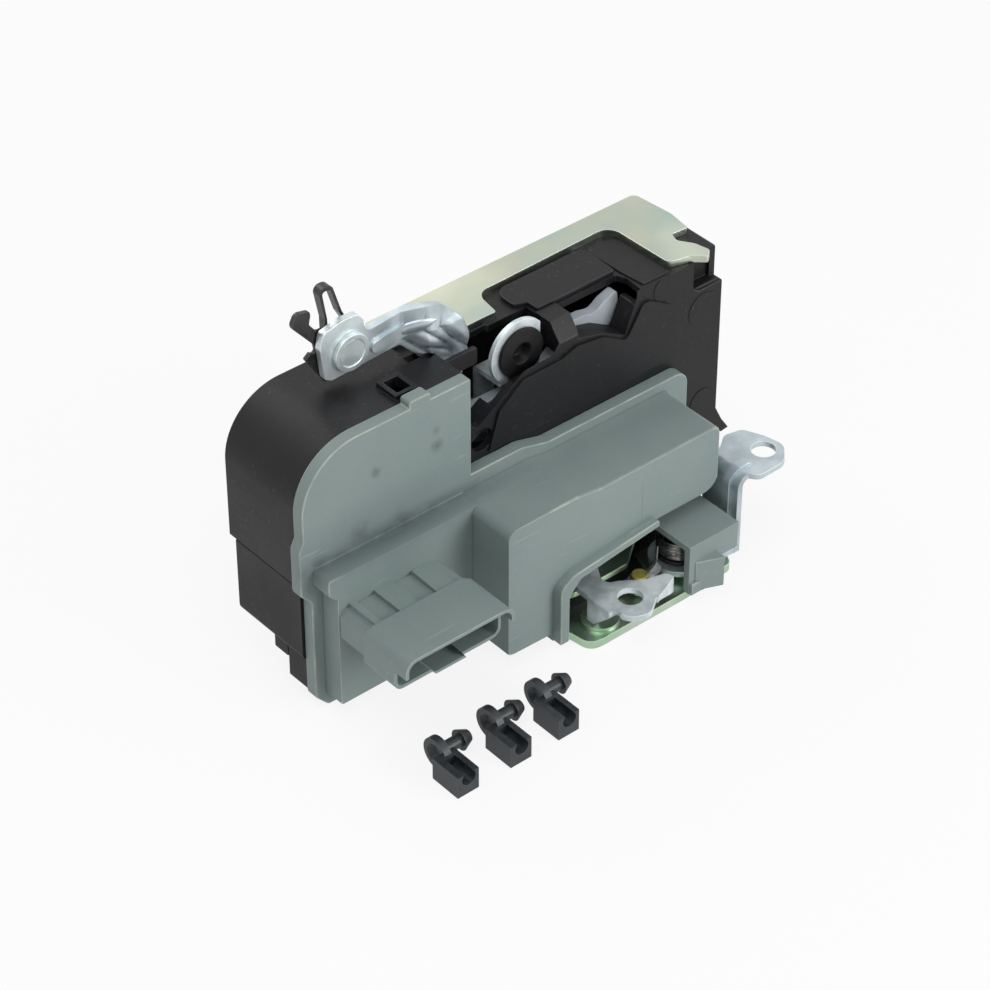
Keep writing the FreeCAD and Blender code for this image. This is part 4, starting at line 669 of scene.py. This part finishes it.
def creased(mesh):
    """Cuts the bent part of the strip finely and folds it. The folds' depth is kept as an attribute,
    which the zinc darkens as painted shade.
    """
    rounds, longest = 6, 0.0007
    left, right, low, high = -0.060, -0.034, 0.080, 0.103
    run_in, run_out = 0.004, 0.003
    fold_height, dent_height, fold_level = 0.0019, 0.0003, 0.2
    form = bmesh.new()
    form.from_mesh(mesh)
    bmesh.ops.triangulate(form, faces=form.faces)
    for _ in range(rounds):
        long_edges = []
        for edge in form.edges:
            middle = (edge.verts[0].co + edge.verts[1].co) / 2
            if left < middle.x < right and low < middle.z < high and edge.calc_length() > longest:
                long_edges.append(edge)
        if not long_edges:
            break
        bmesh.ops.subdivide_edges(form, edges=long_edges, cuts=1)
        bmesh.ops.triangulate(form, faces=[face for face in form.faces if len(face.verts) > 3])
    form.normal_update()
    shifts = {}
    for vert in form.verts:
        x, y, z = vert.co
        share = min(max((x - left) / run_in, 0), 1)
        share *= min(max((z - low) / run_in, 0), 1)
        share *= min(max((high + 0.001 - z) / run_out, 0), 1)
        if share > 0:
            fold = abs(noise.noise(Vector(((x + z) * 170, y * 40, (z - x) * 30)))) - fold_level
            dent = noise.noise(Vector((x * 90, y * 70, z * 90)) + Vector((3, 7, 1)))
            shift = vert.normal * share * (fold * fold_height + dent * dent_height)
            shifts[vert] = (shift, share * (-0.10 - fold) * 12)
    depths = [max(0.0, min(0.9, shifts[vert][1])) if vert in shifts else 0.0 for vert in form.verts]
    for vert, (shift, _) in shifts.items():
        vert.co += shift
    form.to_mesh(mesh)
    form.free()
    mesh.attributes.new("fold", "FLOAT", "POINT").data.foreach_set("value", depths)


softened("handle_lever", zinc, width=0.0002, shaping=creased)
bead_line = [(-58.8, 16.9, 103.0), (-57.8, 16.8, 103.1), (-55.6, 15.9, 103.5), (-53.2, 14.6, 104.0),
             (-50.6, 13.4, 104.5), (-48.6, 12.9, 104.6)]
bar("handle_bead", bead_line, [1.6, 2.1, 2.2, 2.1, 1.5, 0.4], zinc, "handle_lever", flat=0.5)
softened("lever_rivet", zinc, width=0.0003)
wound("handle_spring", thickness=0.0013, turns=5, along="y")
sheet_black = Finish("black_sheet", Specular_IOR_Level=0.5)
cloud = sheet_black.noise(160, 3)
tint = sheet_black.mix(cloud.between(0.4, 0.65), (0.008, 0.008, 0.009), (0.022, 0.020, 0.020))
tint = sheet_black.mix(sheet_black.edge().between(0, 1) * 0.3, tint, (0.10, 0.09, 0.085))
sheet_black.set("Base Color", tint)
sheet_black.set("Roughness", sheet_black.noise(90, 3, seed=2).between(0.3, 0.7, 0.22, 0.4))
softened("rod_hook", sheet_black, width=0.0002)
softened("hook_spring", sheet_black, width=0.0001)

# Eye lever: thin sheet bent to a leg and a ring, bright zinc-plated, with a black plastic bush pressed
# into the ring as a bearing for the rod from the inner handle.
bush_black = Finish("bush_plastic", Specular_IOR_Level=0.22)
cloud = bush_black.noise(90, 3)
tint = bush_black.mix(cloud.between(0.4, 0.6), (0.004, 0.004, 0.005), (0.010, 0.010, 0.011))
bush_black.set("Base Color", tint)
bush_black.set("Roughness", bush_black.noise(500, 2, seed=2).between(0.3, 0.7, 0.45, 0.6))
# The eye lever wears the lighter copy of the zinc: painted light on its foot.
softened("eye_lever", lit_zinc, width=0.00015)
softened("eye_bush", bush_black, width=0.0004)
wound("eye_spring", thickness=0.0011, turns=4, along="y")

# Lock lever and its drive, inside the tub: pale plastic lever and wheel, a brass pinion on the motor's
# shaft, and a small motor in a zinc-plated can with a black cap.
pale = Finish("pale_plastic", Specular_IOR_Level=0.4)
cloud = pale.noise(60, 3)
pale.set("Base Color", pale.mix(cloud.between(0.35, 0.65), (0.34, 0.38, 0.42), (0.46, 0.50, 0.53)))
pale.set("Roughness", cloud.between(0.3, 0.7, 0.4, 0.5))
softened("lock_lever", pale, width=0.0003)
softened("drive_wheel", pale, width=0.0001)
softened("motor_pinion", brass, width=0.0001)
softened("motor_rotor", zinc, width=0.0002)
softened("motor_can", zinc, width=0.0003)
softened("motor_cap", black, width=0.0003)

# Rod clips: three loose pieces of slate-coloured plastic, each moulded in one. A barbed stud clips into
# a lever's hole, and the hinged trough closes over the rod.
slate = Finish("clip_plastic", Specular_IOR_Level=0.45)
cloud = slate.noise(280, 3, seed=41)
tint = slate.mix(cloud.between(0.35, 0.65), (0.016, 0.019, 0.022), (0.030, 0.036, 0.042))
tint = slate.mix(slate.edge().between(0, 1) * 0.5, tint, (0.075, 0.088, 0.10))
slate.set("Base Color", tint)
slate.set("Roughness", cloud.between(0.3, 0.7, 0.36, 0.48))
softened("rod_clips", slate, width=0.00015)
